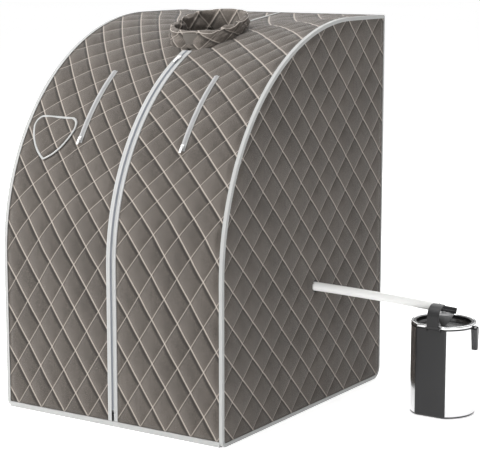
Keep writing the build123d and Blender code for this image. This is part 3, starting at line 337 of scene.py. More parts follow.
CLOTH = (0.052, 0.0445, 0.0385)
CLOTH_LIGHT = (0.086, 0.0745, 0.065)
COLLAR = (0.088, 0.076, 0.066)
COLLAR_LIGHT = (0.140, 0.122, 0.107)
THREAD = (0.50, 0.445, 0.395)
MATERIALS = {
    "cloth": quilted_cloth("quilted_cloth", CLOTH, CLOTH_LIGHT),
    "side_cloth": quilted_cloth("side_cloth", CLOTH, CLOTH_LIGHT, bright=0.034, dim=0.024),
    "collar_cloth": quilted_cloth("collar_cloth", COLLAR, COLLAR_LIGHT, bright=0.050, dim=0.045),
    "tab_cloth": woven_tape("tab_cloth", (0.13, 0.115, 0.10), rate=900.0),
    "tab_thread": moulded("tab_thread", (0.42, 0.38, 0.345), 0.8),
    "lining": moulded("lining", (0.06, 0.055, 0.05), 0.9),
    "binding": woven_tape("binding_tape", (0.43, 0.435, 0.43), rate=1500.0),
    "zip_tape": woven_tape("zip_tape", (0.47, 0.475, 0.475), rate=2200.0),
    "zip_core": woven_tape("zip_core", (0.30, 0.32, 0.35), rate=2600.0),
    "arm_zip_teeth": woven_tape("arm_zip_teeth", (0.44, 0.44, 0.45), rate=2600.0),
    "zip_teeth": moulded("zip_teeth", (0.20, 0.215, 0.24), 0.35),
    "zip_metal": metal("zip_metal", (0.98, 0.98, 0.98), 0.42),
    "mat": moulded("mat", (0.07, 0.065, 0.06), 0.85),
    "wire": moulded("wire", (0.03, 0.03, 0.03), 0.5),
    "rod": metal("rod", (0.7, 0.7, 0.7), 0.3),
    "socket": moulded("socket", (0.04, 0.04, 0.04), 0.45),
    "hose": moulded("hose", (0.82, 0.82, 0.80), 0.38, coat=0.15, grain=500.0, depth=0.00004),
    "white_plastic": moulded("white_plastic", (0.78, 0.78, 0.76), 0.42),
    "steel": metal("steel", (0.70, 0.70, 0.705), 0.12),
    "black_gloss": moulded("black_gloss", (0.006, 0.006, 0.007), 0.2, coat=0.3),
    "dark_panel": moulded("dark_panel", (0.018, 0.018, 0.019), 0.5),
    "rubber": moulded("rubber", (0.006, 0.006, 0.006), 0.6),
    "heater": metal("heater", (0.6, 0.6, 0.6), 0.45),
    "board": moulded("board", (0.016, 0.09, 0.045), 0.4),
    "brass": metal("brass", (0.8, 0.6, 0.25), 0.25),
    # Painted light: the riser's pale grey stands in for light on the lit side of dark plastic.
    "riser": moulded("riser", (0.42, 0.42, 0.425), 0.4, coat=0.1),
}
OWN_FINISH = {"arm_zip_coils": "arm_zip_teeth", "collar_tab": "tab_cloth"}


def dress_cad():
    """Gives every CAD node the material of its slot, or the one that OWN_FINISH names."""
    for row in frame["record"]["subparts"]:
        materials = frame["nodes"][row["node"]].data.materials
        materials.clear()
        materials.append(MATERIALS[OWN_FINISH.get(row["node"], row["material_slot"])])


dress_cad()


# ---- The steam hose ----
def make_hose():
    """The hose from the steamer's outlet into the cabin, along the CAD's own route."""
    data = bpy.data.curves.new("steam_hose_line", "CURVE")
    data.dimensions = "3D"
    data.bevel_depth = HOSE_RADIUS
    data.bevel_resolution = 12
    data.resolution_u = 24
    data.use_fill_caps = True
    spline = data.splines.new("NURBS")
    spline.points.add(len(HOSE_ROUTE) - 1)
    for point, place in zip(spline.points, HOSE_ROUTE):
        point.co = (*place, 1)
    spline.order_u = 3
    spline.use_endpoint_u = True
    hose = add_object("hose", data)
    data.materials.append(MATERIALS["hose"])
    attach(hose, "tent")
    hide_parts("steam_hose")


make_hose()


# ---- The cloth's shape, as in the frame ----
def smooth(low, high, value):
    """0 below low, 1 above high, and a smooth step between."""
    t = np.clip((value - low) / (high - low), 0, 1)
    return t * t * (3 - 2 * t)


def zip_arc_end():
    """Angle round the zip's arc where the cloth leaves it for the roof's rear edge."""
    back = REAR - (FRONT + ZIP_RADIUS)
    up = HEIGHT - STRAIGHT
    return math.pi / 2 + math.atan2(back, up) - math.acos(ZIP_RADIUS / math.hypot(back, up))


ZIP_ARC = zip_arc_end()


def front_point(x, v):
    """Points on the front, arch and roof at x and a length v up the cloth."""
    share = np.clip((v - STRAIGHT) / ARCH_LENGTH, 0, 1)
    roof = np.clip((v - STRAIGHT - ARCH_LENGTH) / ROOF_LENGTH, 0, 1)
    side_angle = share * math.pi / 2
    zip_angle = share * ZIP_ARC
    side_y = FRONT + ARCH_RADIUS - ARCH_RADIUS * np.cos(side_angle) + roof * ROOF_LENGTH
    side_z = STRAIGHT + ARCH_RADIUS * np.sin(side_angle)
    zip_y = FRONT + ZIP_RADIUS - ZIP_RADIUS * np.cos(zip_angle)
    zip_z = STRAIGHT + ZIP_RADIUS * np.sin(zip_angle)
    zip_y = zip_y + roof * (REAR - zip_y)
    zip_z = zip_z + roof * (HEIGHT - zip_z)
    side = np.where(x > ZIP_X, SIDE - PANEL - ZIP_X, SIDE - PANEL + ZIP_X) - ZIP_LAND
    weight = np.clip((np.abs(x - ZIP_X) - ZIP_LAND) / side, 0, 1)
    y = zip_y + (side_y - zip_y) * weight
    z = zip_z + (side_z - zip_z) * weight + np.minimum(v - STRAIGHT, 0)
    return np.stack([x + 0 * y, y, z], axis=-1)


def grid_normals(points):
    """Unit normals of a grid of points, out of the side where its columns turn to its rows."""
    across = np.gradient(points, axis=1)
    along = np.gradient(points, axis=0)
    normal = np.cross(across, along)
    return normal / np.maximum(np.linalg.norm(normal, axis=-1, keepdims=True), 1e-12)


def quilt_puff(a, b, pitch, height, crease):
    """How far quilted cloth stands out between its two sets of stitch lines."""
    near_a = np.abs(a - np.round(a)) * pitch
    near_b = np.abs(b - np.round(b)) * pitch
    return height * (1 - np.exp(-near_a / crease)) * (1 - np.exp(-near_b / crease))


NOISE_WAVES = 7
NOISE_SHARE = 4  # the waves seldom all meet, so their sum is divided by less than their number
NOISE_SPREAD = (0.6, 1.6)  # lowest and highest frequency, as shares of 1 / scale


def soft_noise(u, v, scale, seed):
    """Slow random waves between about -1 and 1."""
    draws = np.random.default_rng(seed)
    total = 0
    for _ in range(NOISE_WAVES):
        angle = draws.uniform(0, TURN)
        wave = draws.uniform(*NOISE_SPREAD) / scale
        along = u * math.cos(angle) + v * math.sin(angle)
        total = total + np.sin(TURN * wave * along + draws.uniform(0, 6.28))
    return total / NOISE_SHARE


# ---- Meshes from grids of points ----
def pairs_of(first, second):
    """Two grids of numbers as one grid of pairs."""
    return np.stack([first, second], -1)


def grid_index(rows, columns):
    """The number of each point of a grid."""
    return np.arange(rows * columns).reshape(rows, columns)


def all_corners(wanted):
    """The faces of a grid whose four corners are all wanted."""
    return wanted[:-1, :-1] & wanted[1:, :-1] & wanted[:-1, 1:] & wanted[1:, 1:]


def build_mesh(name, points, faces, materials, uvs, indices=None):
    """A smooth mesh object from arrays; uvs maps a layer's name to one pair for each point."""
    data = bpy.data.meshes.new(name)
    faces = np.asarray(faces, dtype=np.int32)
    data.vertices.add(len(points))
    data.vertices.foreach_set("co", np.asarray(points, dtype=np.float32).ravel())
    data.loops.add(faces.size)
    data.loops.foreach_set("vertex_index", faces.ravel())
    data.polygons.add(len(faces))
    data.polygons.foreach_set("loop_start", np.arange(0, faces.size, faces.shape[1], dtype=np.int32))
    for key, pairs in uvs.items():
        layer = data.uv_layers.new(name=key)
        layer.data.foreach_set("uv", np.asarray(pairs, dtype=np.float32)[faces.ravel()].ravel())
    for material in materials:
        data.materials.append(material)
    if indices is not None:
        data.polygons.foreach_set("material_index", np.asarray(indices, dtype=np.int32))
    data.update(calc_edges=True)
    data.validate()
    data.polygons.foreach_set("use_smooth", np.ones(len(data.polygons), dtype=bool))
    return add_object(name, data)


def add_faces(piece, rings, recalculate):
    """Adds a face for each ring of point numbers, and turns all faces outwards if asked."""
    mesh = bmesh.new()
    mesh.from_mesh(piece.data)
    mesh.verts.ensure_lookup_table()
    for ring in rings:
        mesh.faces.new([mesh.verts[int(i)] for i in ring])
    if recalculate:
        bmesh.ops.recalc_face_normals(mesh, faces=mesh.faces)
    mesh.to_mesh(piece.data)
    mesh.free()


def cloth_piece(name, points, lift, thickness, quilt, cut, materials, keep=None):
    """A closed piece of cloth over a grid.

    Its outer face is lifted along the normals and its inner face lies thickness behind the grid.
    """
    rows, columns = points.shape[:2]
    normals = grid_normals(points)
    outer = points + normals * lift[..., None]
    inner = points - normals * thickness
    index = grid_index(rows, columns)
    if keep is None:
        keep = np.ones((rows - 1, columns - 1), dtype=bool)
    a, b, c, d = index[:-1, :-1], index[:-1, 1:], index[1:, 1:], index[1:, :-1]
    shift = rows * columns
    front = np.stack([a, b, c, d], axis=-1)[keep]
    back = np.stack([d, c, b, a], axis=-1)[keep] + shift
    rims = []
    padded = np.pad(keep, 1)
    for (di, dj), (p, q) in (((-1, 0), (a, b)), ((0, 1), (b, c)), ((1, 0), (c, d)), ((0, -1), (d, a))):
        neighbour = padded[1 + di:rows + di, 1 + dj:columns + dj]
        edge = keep & ~neighbour
        rims.append(np.stack([q, p, p + shift, q + shift], axis=-1)[edge])
    rim = np.concatenate(rims)
    faces = np.concatenate([front, back, rim])
    indices = np.concatenate([np.zeros(len(front)), np.ones(len(back)), np.zeros(len(rim))])
    uvs = {"quilt": np.tile(quilt.reshape(-1, 2), (2, 1)), "cut": np.tile(cut.reshape(-1, 2), (2, 1))}
    both = np.concatenate([outer.reshape(-1, 3), inner.reshape(-1, 3)])
    return build_mesh(name, both, faces, materials, uvs, indices)


# ---- Quilting of the front, arch and roof ----
QUILT_WIDE = 0.0745
QUILT_LOW = 0.108  # between rows on the straight front
QUILT_HIGH = 0.079  # on the arch
QUILT_ROOF = 0.088
TO_ARCH = (0.42, 0.60)  # lengths up the cloth where the rows change
TO_ROOF = (1.02, 1.14)
QUILT_PHASE = (0.58, 0.34)
QUILT_SHIFT = 0.012  # right of the zip
PUFF = 0.0058
CREASE = 0.010
BASE_DROP = 0.0012
PUFF_PITCH = 0.8  # of the distance between stitch lines
length_steps = np.linspace(0, CLOTH_LENGTH, 800)
row_pitch = QUILT_LOW + (QUILT_HIGH - QUILT_LOW) * smooth(*TO_ARCH, length_steps)
row_pitch = row_pitch + (QUILT_ROOF - QUILT_HIGH) * smooth(*TO_ROOF, length_steps)
rows_a_step = (1 / row_pitch[1:] + 1 / row_pitch[:-1]) / 2 * np.diff(length_steps)
row_count = np.concatenate([[0], np.cumsum(rows_a_step)])


def front_quilt(x, v):
    """The two stitch-line counts on the front at x and v."""
    count = np.interp(v, length_steps, row_count)
    across = (x + SIDE - QUILT_SHIFT * (x > ZIP_X)) / QUILT_WIDE
    return across + count - QUILT_PHASE[0], across - count - QUILT_PHASE[1]


# Distances over which the quilting rises from flat: beside the zip, the side seam and an arm
# zip, above the sill and before the rear edge. An arm zip's ends are in degrees round the arch.
FROM_ZIP = (0.015, 0.026)
FROM_SEAM = (0.006, 0.020)
FROM_ARM = (0.009, 0.020)
FROM_SILL = (0, 0.012)
FROM_REAR = (0, 0.02)
ARM_START = (24, 29)
ARM_FINISH = (54, 58)
SEAM_EASE = 0.004
FRONT_STEP = 0.0035
FRONT_THICKNESS = 0.0035
FRONT_SINK = 0.0003
FRONT_WAVE = 0.0011
FRONT_GAP = 0.002  # short of the rear edge
CLOSED_SLOT = 0.0008  # behind the collar, where there is no zip
HOLE_MARGIN = 0.012  # the cloth runs on under the collar
HOLE_START = 1.0  # length up the cloth above which the neck's hole is looked for


def half_front(name, sign):
    """The quilted cloth from the zip to one side seam, from the sill over the arch to the rear edge."""
    rows = int((CLOTH_LENGTH - SILL_HEIGHT) / FRONT_STEP)
    columns = int(SIDE / FRONT_STEP)
    v = np.linspace(SILL_HEIGHT, CLOTH_LENGTH - FRONT_GAP, rows)[:, None]
    outer_x = sign * (SIDE - TRIM)
    middle_y = front_point(np.full_like(v, ZIP_X), v)[..., 1]
    inner_x = ZIP_X + sign * np.where(middle_y > COLLAR_Y, CLOSED_SLOT, ZIP_SLOT)
    x = inner_x + (outer_x - inner_x) * np.linspace(0, 1, columns)[None, :]
    if sign < 0:
        x = x[:, ::-1]
    v = v + 0 * x
    points = front_point(x, v)
    a, b = front_quilt(x, v)
    from_zip = np.abs(x - ZIP_X)
    from_arm = np.abs(from_zip - ARM_X)
    degrees = (v - STRAIGHT) / ARCH_LENGTH * 90
    arm_span = smooth(*ARM_START, degrees) * (1 - smooth(*ARM_FINISH, degrees))
    flat = smooth(*FROM_ZIP, from_zip) * smooth(*FROM_SEAM, SIDE - TRIM_WIDTH + SEAM_EASE - np.abs(x))
    flat = flat * (1 - arm_span * (1 - smooth(*FROM_ARM, from_arm)))
    flat = flat * smooth(*FROM_SILL, v - SILL_HEIGHT) * smooth(*FROM_REAR, CLOTH_LENGTH - v)
    if sign < 0:
        flat = flat * (1 - pocket_share(x, points[..., 2]))
    puff = quilt_puff(a, b, QUILT_WIDE * PUFF_PITCH, PUFF, CREASE)
    lift = puff * flat - BASE_DROP * flat - FRONT_SINK
    lift = lift + FRONT_WAVE * soft_noise(x, v, scale=0.16, seed=3 + sign) * flat
    from_collar = np.hypot(points[..., 0] - ZIP_X, points[..., 1] - COLLAR_Y)
    outside_hole = (from_collar > COLLAR_RADIUS - HOLE_MARGIN) | (v < HOLE_START)
    return cloth_piece(name, points, lift, FRONT_THICKNESS, pairs_of(a, b), pairs_of(x, v),
                       [MATERIALS["cloth"], MATERIALS["lining"]], all_corners(outside_hole))


# ---- Pocket ----
POCKET_TIP = 0.0045  # the tip lies this far left of the middle
POCKET_BOW = 0.006
POCKET_BOW_DROP = 0.004
POCKET_MIDDLE = np.array([POCKET_X, POCKET_TOP - 0.045])
FROM_POCKET = (0.004, 0.016)
PATCH_RISE = 0.0009
PATCH_CROWN = 0.0012
PATCH_PUFF = PUFF * 0.75
PATCH_EDGE = (0.86, 1.0)  # share of the way out where its quilting goes flat
PATCH_HUB = 0.02  # the rings start this share of the way out
PATCH_THICKNESS = 0.002


def pocket_outline():
    """Points in x and z round the pocket's shield shape."""
    left = POCKET_X - POCKET_WIDTH / 2
    right = POCKET_X + POCKET_WIDTH / 2
    tip = np.array([POCKET_X - POCKET_TIP, POCKET_TOP - POCKET_HEIGHT])

    def side(x, bow):
        start = np.array([x, POCKET_TOP - POCKET_SHOULDER])
        t = np.linspace(0, 1, 30)[:, None]
        control = np.array([x + bow, (start[1] + tip[1]) / 2 - POCKET_BOW_DROP])
        return (1 - t) ** 2 * start + 2 * t * (1 - t) * control + t ** 2 * tip

    turn = np.linspace(0, math.pi / 2, 12)
    across = POCKET_CORNER * np.sin(turn)
    up = POCKET_CORNER * np.cos(turn)
    top_left = pairs_of(left + POCKET_CORNER - across, POCKET_TOP - POCKET_CORNER + up)
    top_right = pairs_of(right - POCKET_CORNER + across, POCKET_TOP - TRIM - POCKET_CORNER + up)
    share = np.linspace(0, 1, 40)[1:-1, None]
    top = top_right[0] + (top_left[0] - top_right[0]) * share
    return np.concatenate([top_left, side(left, POCKET_BOW), side(right, -POCKET_BOW)[::-1],
                           top_right[::-1], top])


POCKET_RING = pocket_outline()


def pocket_reach(angle):
    """How far the pocket's edge is from its middle at each angle."""
    from_middle = POCKET_RING - POCKET_MIDDLE
    ring_angle = np.arctan2(from_middle[:, 1], from_middle[:, 0])
    order = np.argsort(ring_angle)
    return np.interp(angle, ring_angle[order], np.hypot(*from_middle.T)[order], period=TURN)


def pocket_share(x, z):
    """1 inside the pocket and 0 outside."""
    dx = x - POCKET_MIDDLE[0]
    dz = z - POCKET_MIDDLE[1]
    edge = pocket_reach(np.arctan2(dz, dx))
    return 1 - smooth(*FROM_POCKET, np.hypot(dx, dz) - edge)


def height_to_length(x, z):
    """The length v up the cloth where it passes a height, on the arch."""
    steps = np.linspace(0, CLOTH_LENGTH - ROOF_LENGTH, 500)
    heights = front_point(np.full_like(steps, x), steps)[:, 2]
    return np.interp(z, heights, steps)


def make_pocket():
    """The quilted patch of the pocket, on the arch inside its binding."""
    rings, spokes = 34, 128
    angle = np.linspace(0, TURN, spokes, endpoint=False)
    edge = pocket_reach(angle) - POCKET_TRIM / 2
    radius = np.linspace(PATCH_HUB, 1, rings)[:, None]
    x = POCKET_MIDDLE[0] + radius * edge * np.cos(angle)
    z = POCKET_MIDDLE[1] + radius * edge * np.sin(angle)
    v = np.vectorize(height_to_length)(x, z)
    round_arch = (v - STRAIGHT) / ARCH_RADIUS
    normal = np.stack([0 * x, -np.cos(round_arch), np.sin(round_arch)], -1)
    a, b = front_quilt(x, v)
    rim = 1 - smooth(*PATCH_EDGE, radius + 0 * x)
    puff = quilt_puff(a, b, QUILT_WIDE * PUFF_PITCH, PATCH_PUFF, CREASE)
    lift = PATCH_RISE + puff * rim + PATCH_CROWN * rim
    points = front_point(x, v) + normal * lift[..., None]
    index = grid_index(rings, spokes)
    after = np.roll(index, -1, axis=1)
    faces = np.stack([index[:-1], index[1:], after[1:], after[:-1]], -1).reshape(-1, 4)
    patch = build_mesh("pocket_cloth", points.reshape(-1, 3), faces, [MATERIALS["cloth"]],
                       {"quilt": pairs_of(a, b).reshape(-1, 2), "cut": pairs_of(x, v).reshape(-1, 2)})
    add_faces(patch, [index[0]], recalculate=False)
    thick = patch.modifiers.new("thickness", "SOLIDIFY")
    thick.thickness = PATCH_THICKNESS
    thick.offset = -1
    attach(patch, "tent")
    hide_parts("pocket_patch")


for side_name, side_sign in (("left", -1), ("right", 1)):
    front_cloth = half_front(f"front_cloth_{side_name}", side_sign)
    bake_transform(front_cloth)
    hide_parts(f"arch_panel_{side_name}", f"door_panel_{side_name}")
make_pocket()


# ---- Side panels and back ----
SIDE_PITCH = 0.088
SIDE_PHASE = (0.66, 0.364)
SIDE_PUFF = PUFF * 0.9
SIDE_STEP = 0.0045
SIDE_THICKNESS = 0.0045
SIDE_WAVE = 0.0009
SIDE_FOOT = 0.0005  # over the trim at the floor
PORT_GAP = 0.001  # round the hose
BACK_STEP = 0.005
FROM_SIDE_EDGE = (0.008, 0.024)
FROM_BACK_EDGE = (0.004, 0.02)
FRONT_CORNER = 0.014
REAR_LOW_CORNER = 0.030


def row_ends(z):
    """Where a side panel starts and ends along Y at each height."""
    up = np.clip((z - STRAIGHT) / ARCH_RADIUS, 0, 1)
    front = FRONT + ARCH_RADIUS - ARCH_RADIUS * np.sqrt(1 - up ** 2)
    low_front = np.clip((TRIM + FRONT_CORNER - z) / FRONT_CORNER, 0, 1)
    front = front + FRONT_CORNER * (1 - np.sqrt(1 - low_front ** 2))
    low_rear = np.clip((TRIM + REAR_LOW_CORNER - z) / REAR_LOW_CORNER, 0, 1)
    rear = REAR - REAR_LOW_CORNER * (1 - np.sqrt(1 - low_rear ** 2))
    return front, rear


def side_quilt(along, z, phase=(0, 0)):
    """The two stitch-line counts on a side panel or the back, and how far its cloth stands out."""
    a = along + z / SIDE_PITCH - phase[0]
    b = along - z / SIDE_PITCH - phase[1]
    return a, b, quilt_puff(a, b, SIDE_PITCH * PUFF_PITCH, SIDE_PUFF, CREASE)


def hose_port():
    """(y, z) where the hose goes through the right side panel."""
    start, end = HOSE_ROUTE[-2], HOSE_ROUTE[-1]
    share = (SIDE - end[0]) / (start[0] - end[0])
    return tuple(end[i] + (start[i] - end[i]) * share for i in (1, 2))


def side_cloth(name, sign):
    """One quilted side panel, with the hose's port in the right one."""
    low = np.linspace(TRIM + SIDE_FOOT, STRAIGHT, int(STRAIGHT / SIDE_STEP))
    arch_angle = np.linspace(0, math.pi / 2, int(ARCH_LENGTH / SIDE_STEP))[1:]
    z = np.concatenate([low, STRAIGHT + ARCH_RADIUS * np.sin(arch_angle)])[:, None]
    front, rear = row_ends(z)
    y = front + (rear - front) * np.linspace(0, 1, int(DEPTH / SIDE_STEP))[None, :]
    if sign < 0:
        y = y[:, ::-1]
    z = z + 0 * y
    points = np.stack([sign * SIDE + 0 * y, y, z], -1)
    a, b, puff = side_quilt((y - FRONT) / SIDE_PITCH, z, SIDE_PHASE)
    from_arch = ARCH_RADIUS - np.hypot(np.minimum(y - FRONT - ARCH_RADIUS, 0), np.maximum(z - STRAIGHT, 0))
    flat = smooth(*FROM_SIDE_EDGE, np.minimum.reduce([from_arch, REAR - y, z, HEIGHT - z]))
    lift = puff * flat - BASE_DROP * flat
    lift = lift + SIDE_WAVE * soft_noise(y, z, scale=0.2, seed=11 + sign) * flat
    keep = None
    if sign > 0:
        port_y, port_z = hose_port()
        keep = all_corners(np.hypot(y - port_y, z - port_z) > HOSE_RADIUS + PORT_GAP)
    cloth = cloth_piece(name, points, lift, SIDE_THICKNESS, pairs_of(a, b), pairs_of(y, z),
                        [MATERIALS["side_cloth"], MATERIALS["lining"]], keep)
    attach(cloth, "tent")
    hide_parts(name.replace("side_cloth", "side_panel"))


def back_cloth():
    """The quilted back, which turns under at the floor."""
    turn = np.linspace(0, math.pi / 2, 10)
    low_y = REAR - REAR_LOW_CORNER + REAR_LOW_CORNER * np.sin(turn)
    low_z = TRIM + REAR_LOW_CORNER - REAR_LOW_CORNER * np.cos(turn)
    up = np.linspace(low_z[-1], HEIGHT - PANEL, int(HEIGHT / BACK_STEP))[1:]
    path_y = np.concatenate([low_y, np.full_like(up, REAR)])[:, None]
    path_z = np.concatenate([low_z, up])[:, None]
    half = SIDE - PANEL
    x = np.linspace(half, -half, int(WIDTH / BACK_STEP))[None, :] + 0 * path_z
    z = path_z + 0 * x
    points = np.stack([x, path_y + 0 * x, z], -1)
    a, b, puff = side_quilt((x + SIDE) / SIDE_PITCH, z)
    flat = smooth(*FROM_BACK_EDGE, np.minimum(half - np.abs(x), np.minimum(z, HEIGHT - z)))
    lift = (puff - BASE_DROP) * flat
    cloth = cloth_piece("back_cloth", points, lift, SIDE_THICKNESS, pairs_of(a, b), pairs_of(x, z),
                        [MATERIALS["side_cloth"], MATERIALS["lining"]])
    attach(cloth, "tent")
    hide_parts("back_panel")


side_cloth("side_cloth_left", -1)
side_cloth("side_cloth_right", 1)
back_cloth()


# ---- Main zip ----
ZIP_LENGTH = STRAIGHT + ZIP_RADIUS * ZIP_END
TAPE_EDGE = COIL_GROOVE + ZIP_TAPE_WIDTH
# Each profile gives distances from the zip's middle and heights over the cloth. The coil's
# heights are shares of COIL_HEIGHT.
TAPE_PROFILE = (
    (0.0034, 0.0), (0.0034, TAPE * 1.25), (0.0044, TAPE * 1.4), (0.0054, TAPE * 0.8), (0.0085, TAPE),
    (0.0095, TAPE * 0.7), (0.0105, TAPE * 1.25), (TAPE_EDGE, TAPE * 0.6), (TAPE_EDGE, 0.0),
)
CORE_PROFILE = ((COIL_GROOVE, 0.0), (COIL_GROOVE, TAPE), (0.0020, TAPE), (0.0034, TAPE), (0.0034, 0.0))
COIL_PROFILE = (
    (COIL_GROOVE, 0.0), (COIL_GROOVE, 0.55), (0.0011, 0.95), (0.0019, 1.0), (0.0026, 0.6), (0.0028, 0.0),
)
COIL_PITCH = 0.0028
COIL_SINK = 0.0001
TAPE_START = SILL_HEIGHT + 0.0003
CORE_START = ZIP_STOP - 0.004
TAPE_ROWS = 260
TOOTH = (0.72, 0.28)  # mean height of the teeth and how far it swings


def zip_path(v):
    """(y, z, normal y, normal z) up the zip's line at each length."""
    angle = np.clip((v - STRAIGHT) / ZIP_RADIUS, 0, None)
    y = FRONT + ZIP_RADIUS - ZIP_RADIUS * np.cos(angle)
    z = np.minimum(v, STRAIGHT) + ZIP_RADIUS * np.sin(angle)
    return y, z, -np.cos(angle), np.sin(angle)


def tape_height(v, height):
    """The same height all along the zip."""
    return height + 0 * v


def tooth_height(v, height):
    """The coil's height, up and down once for each tooth."""
    return TAPE - COIL_SINK + COIL_HEIGHT * height * (TOOTH[0] + TOOTH[1] * np.sin(TURN * v / COIL_PITCH))


def zip_strip(name, sign, v, profile, height_of, material):
    """A closed strip along the zip: profile gives each point's distance from the middle and its height."""
    y, z, normal_y, normal_z = (value[:, None] for value in zip_path(v))
    across, height = np.array(profile).T[:, None, :]
    height = height_of(v[:, None], height)
    points = np.stack([ZIP_X + sign * across + 0 * y, y + normal_y * height, z + normal_z * height], -1)
    index = grid_index(*points.shape[:2])
    after = np.roll(index, -1, axis=1)
    faces = np.stack([index[:-1], after[:-1], after[1:], index[1:]], -1).reshape(-1, 4)
    ends = [index[0][::-1], index[-1]]
    if sign > 0:
        faces = faces[:, ::-1]
        ends = [end[::-1] for end in ends]
    cut = pairs_of(sign * across + 0 * y, v[:, None] + 0 * across).reshape(-1, 2)
    piece = build_mesh(name, points.reshape(-1, 3), faces, [material], {"cut": cut})
    add_faces(piece, ends, recalculate=True)
    return piece


for side_name, side_sign in (("left", -1), ("right", 1)):
    tape_v = np.linspace(TAPE_START, ZIP_LENGTH, TAPE_ROWS)
    core_v = np.linspace(CORE_START, ZIP_LENGTH, TAPE_ROWS)
    coil_v = np.arange(ZIP_STOP, ZIP_LENGTH, COIL_PITCH / 4)
    tape = zip_strip(f"zip_tape_{side_name}", side_sign, tape_v, TAPE_PROFILE, tape_height,
                     MATERIALS["zip_tape"])
    core = zip_strip(f"zip_core_{side_name}", side_sign, core_v, CORE_PROFILE, tape_height,
                     MATERIALS["zip_core"])
    coil = zip_strip(f"zip_coil_{side_name}", side_sign, coil_v, COIL_PROFILE, tooth_height,
                     MATERIALS["zip_teeth"])
    for piece, slot_name in ((tape, "zip_tape"), (core, "zip_tape"), (coil, "zip_teeth")):
        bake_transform(piece)
    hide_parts(f"arch_zip_tape_{side_name}", f"door_zip_tape_{side_name}")
    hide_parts(f"door_zip_coil_{side_name}", *(["arch_zip_coil"] if side_sign < 0 else []))


# ---- Neck collar ----
COLLAR_CELLS = 10
COLLAR_LEAN = 0.9  # cells that its stitch lines cross from foot to edge
COLLAR_PUFF = 0.0065
COLLAR_PITCH = 0.07
COLLAR_CREASE = 0.014
COLLAR_OUTER = 0.42  # shares of the way round its section where the outer wall and
COLLAR_OVER = 0.58  # the rolled edge end
EDGE_ROLL = 0.10
EDGE_DROP = 0.005
SWELL_WAVE = 0.0012
SWELL_FOLD = 0.0030
EDGE_WAVE = 0.0022
EDGE_FOLD = 0.003
CORNER_PINCH = 0.004
FRONT_DENT = 0.010
FRONT_DENT_ANGLE = 0.3
FOOT_SINK = 0.0015
INNER_FOOT_SINK = 0.026
OUTER_GAP = 0.001  # the cloth stands this far out of the CAD collar's wall
WALL_LOSS = 0.002  # its wall is thinner than the CAD collar's, and its quilting makes that up
NOISE_ROUND = 0.09  # metres of noise for each radian round the collar
INNER_PHASE = 0.10
SECTION_LENGTH = 0.1
PIPING_RADIUS = 0.0008
PIPING_LIFT = 0.0004


def cloth_height(x, y):
    """The cloth's height over a point of the floor, on the arch and roof."""
    steps = np.linspace(STRAIGHT, CLOTH_LENGTH, 700)
    line = front_point(np.full_like(steps, x), steps)
    return np.interp(y, line[:, 1], line[:, 2])


def collar_section(share):
    """How far up and how far inward the collar is, a share of the way round its section."""
    if share < COLLAR_OUTER:
        return share / COLLAR_OUTER, 0.0
    if share < COLLAR_OVER:
        roll = (share - COLLAR_OUTER) / (COLLAR_OVER - COLLAR_OUTER) * math.pi
        return 1.0 + EDGE_ROLL * math.sin(roll), (1 - math.cos(roll)) / 2
    return 1 - (share - COLLAR_OVER) / (1 - COLLAR_OVER), 1.0


def make_collar():
    """The soft standing ring round the neck opening, quilted and crumpled at its ends."""
    spokes, rows = 300, 44
    angle = np.linspace(0, TURN, spokes, endpoint=False)
    middle_z = cloth_height(ZIP_X, COLLAR_Y) + COLLAR_RISE
    wall = COLLAR_WALL - WALL_LOSS
    round_noise = angle * NOISE_ROUND
    crumple = 0.5 + 0.5 * np.cos(2 * angle)
    from_front = (angle + math.pi / 2 + math.pi) % TURN - math.pi
    dent = FRONT_DENT * np.exp(-(from_front / FRONT_DENT_ANGLE) ** 2)
    cells = COLLAR_CELLS * angle / TURN
    t = np.linspace(0, 1, rows, endpoint=False)
    points = np.zeros((rows, spokes, 3))
    a = np.zeros((rows, spokes))
    b = np.zeros((rows, spokes))
    for row, share in enumerate(t):
        up, inward = collar_section(share)
        wave = soft_noise(round_noise, up * 0.04 + inward, scale=0.055, seed=21)
        fold = soft_noise(round_noise, up * 0.08, scale=0.028, seed=5)
        first, second = cells + up * COLLAR_LEAN, cells - up * COLLAR_LEAN
        puff = quilt_puff(first, second, COLLAR_PITCH, COLLAR_PUFF, COLLAR_CREASE)
        ease = math.sin(math.pi * min(up, 1.0) * 0.9) ** 0.5 if 0 < up < 1.1 else 0.0
        swell = (puff + SWELL_WAVE * wave + SWELL_FOLD * crumple * fold) * ease
        radius = COLLAR_RADIUS + OUTER_GAP - wall * inward - CORNER_PINCH * np.cos(2 * angle) ** 4
        radius = radius + swell * (1 - 2 * inward)
        radius = radius - dent * (1 - inward)
        x = ZIP_X + radius * np.cos(angle)
        y = COLLAR_Y + radius * np.sin(angle)
        top = middle_z + math.tan(COLLAR_TILT) * (y - COLLAR_Y)
        top = top + EDGE_WAVE * wave + EDGE_FOLD * crumple * fold
        foot = np.array([cloth_height(px, py) for px, py in zip(x, y)])
        foot = foot - FOOT_SINK - INNER_FOOT_SINK * inward
        points[row] = np.stack([x, y, foot + (top - EDGE_DROP - foot) * up], -1)
        a[row] = first + INNER_PHASE * inward
        b[row] = second
    index = grid_index(rows, spokes)
    after = np.roll(index, -1, axis=1)
    above, above_after = np.roll(index, -1, axis=0), np.roll(after, -1, axis=0)
    faces = np.stack([index, after, above_after, above], -1).reshape(-1, 4)
    cut = pairs_of((angle * COLLAR_RADIUS)[None, :] + 0 * a, t[:, None] * SECTION_LENGTH + 0 * a)
    collar = build_mesh("collar_cloth", points.reshape(-1, 3), faces, [MATERIALS["collar_cloth"]],
                        {"quilt": pairs_of(a, b).reshape(-1, 2), "cut": cut.reshape(-1, 2)})
    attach(collar, "tent")
    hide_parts("neck_collar")
    return points[int(rows * COLLAR_OUTER) + 1]


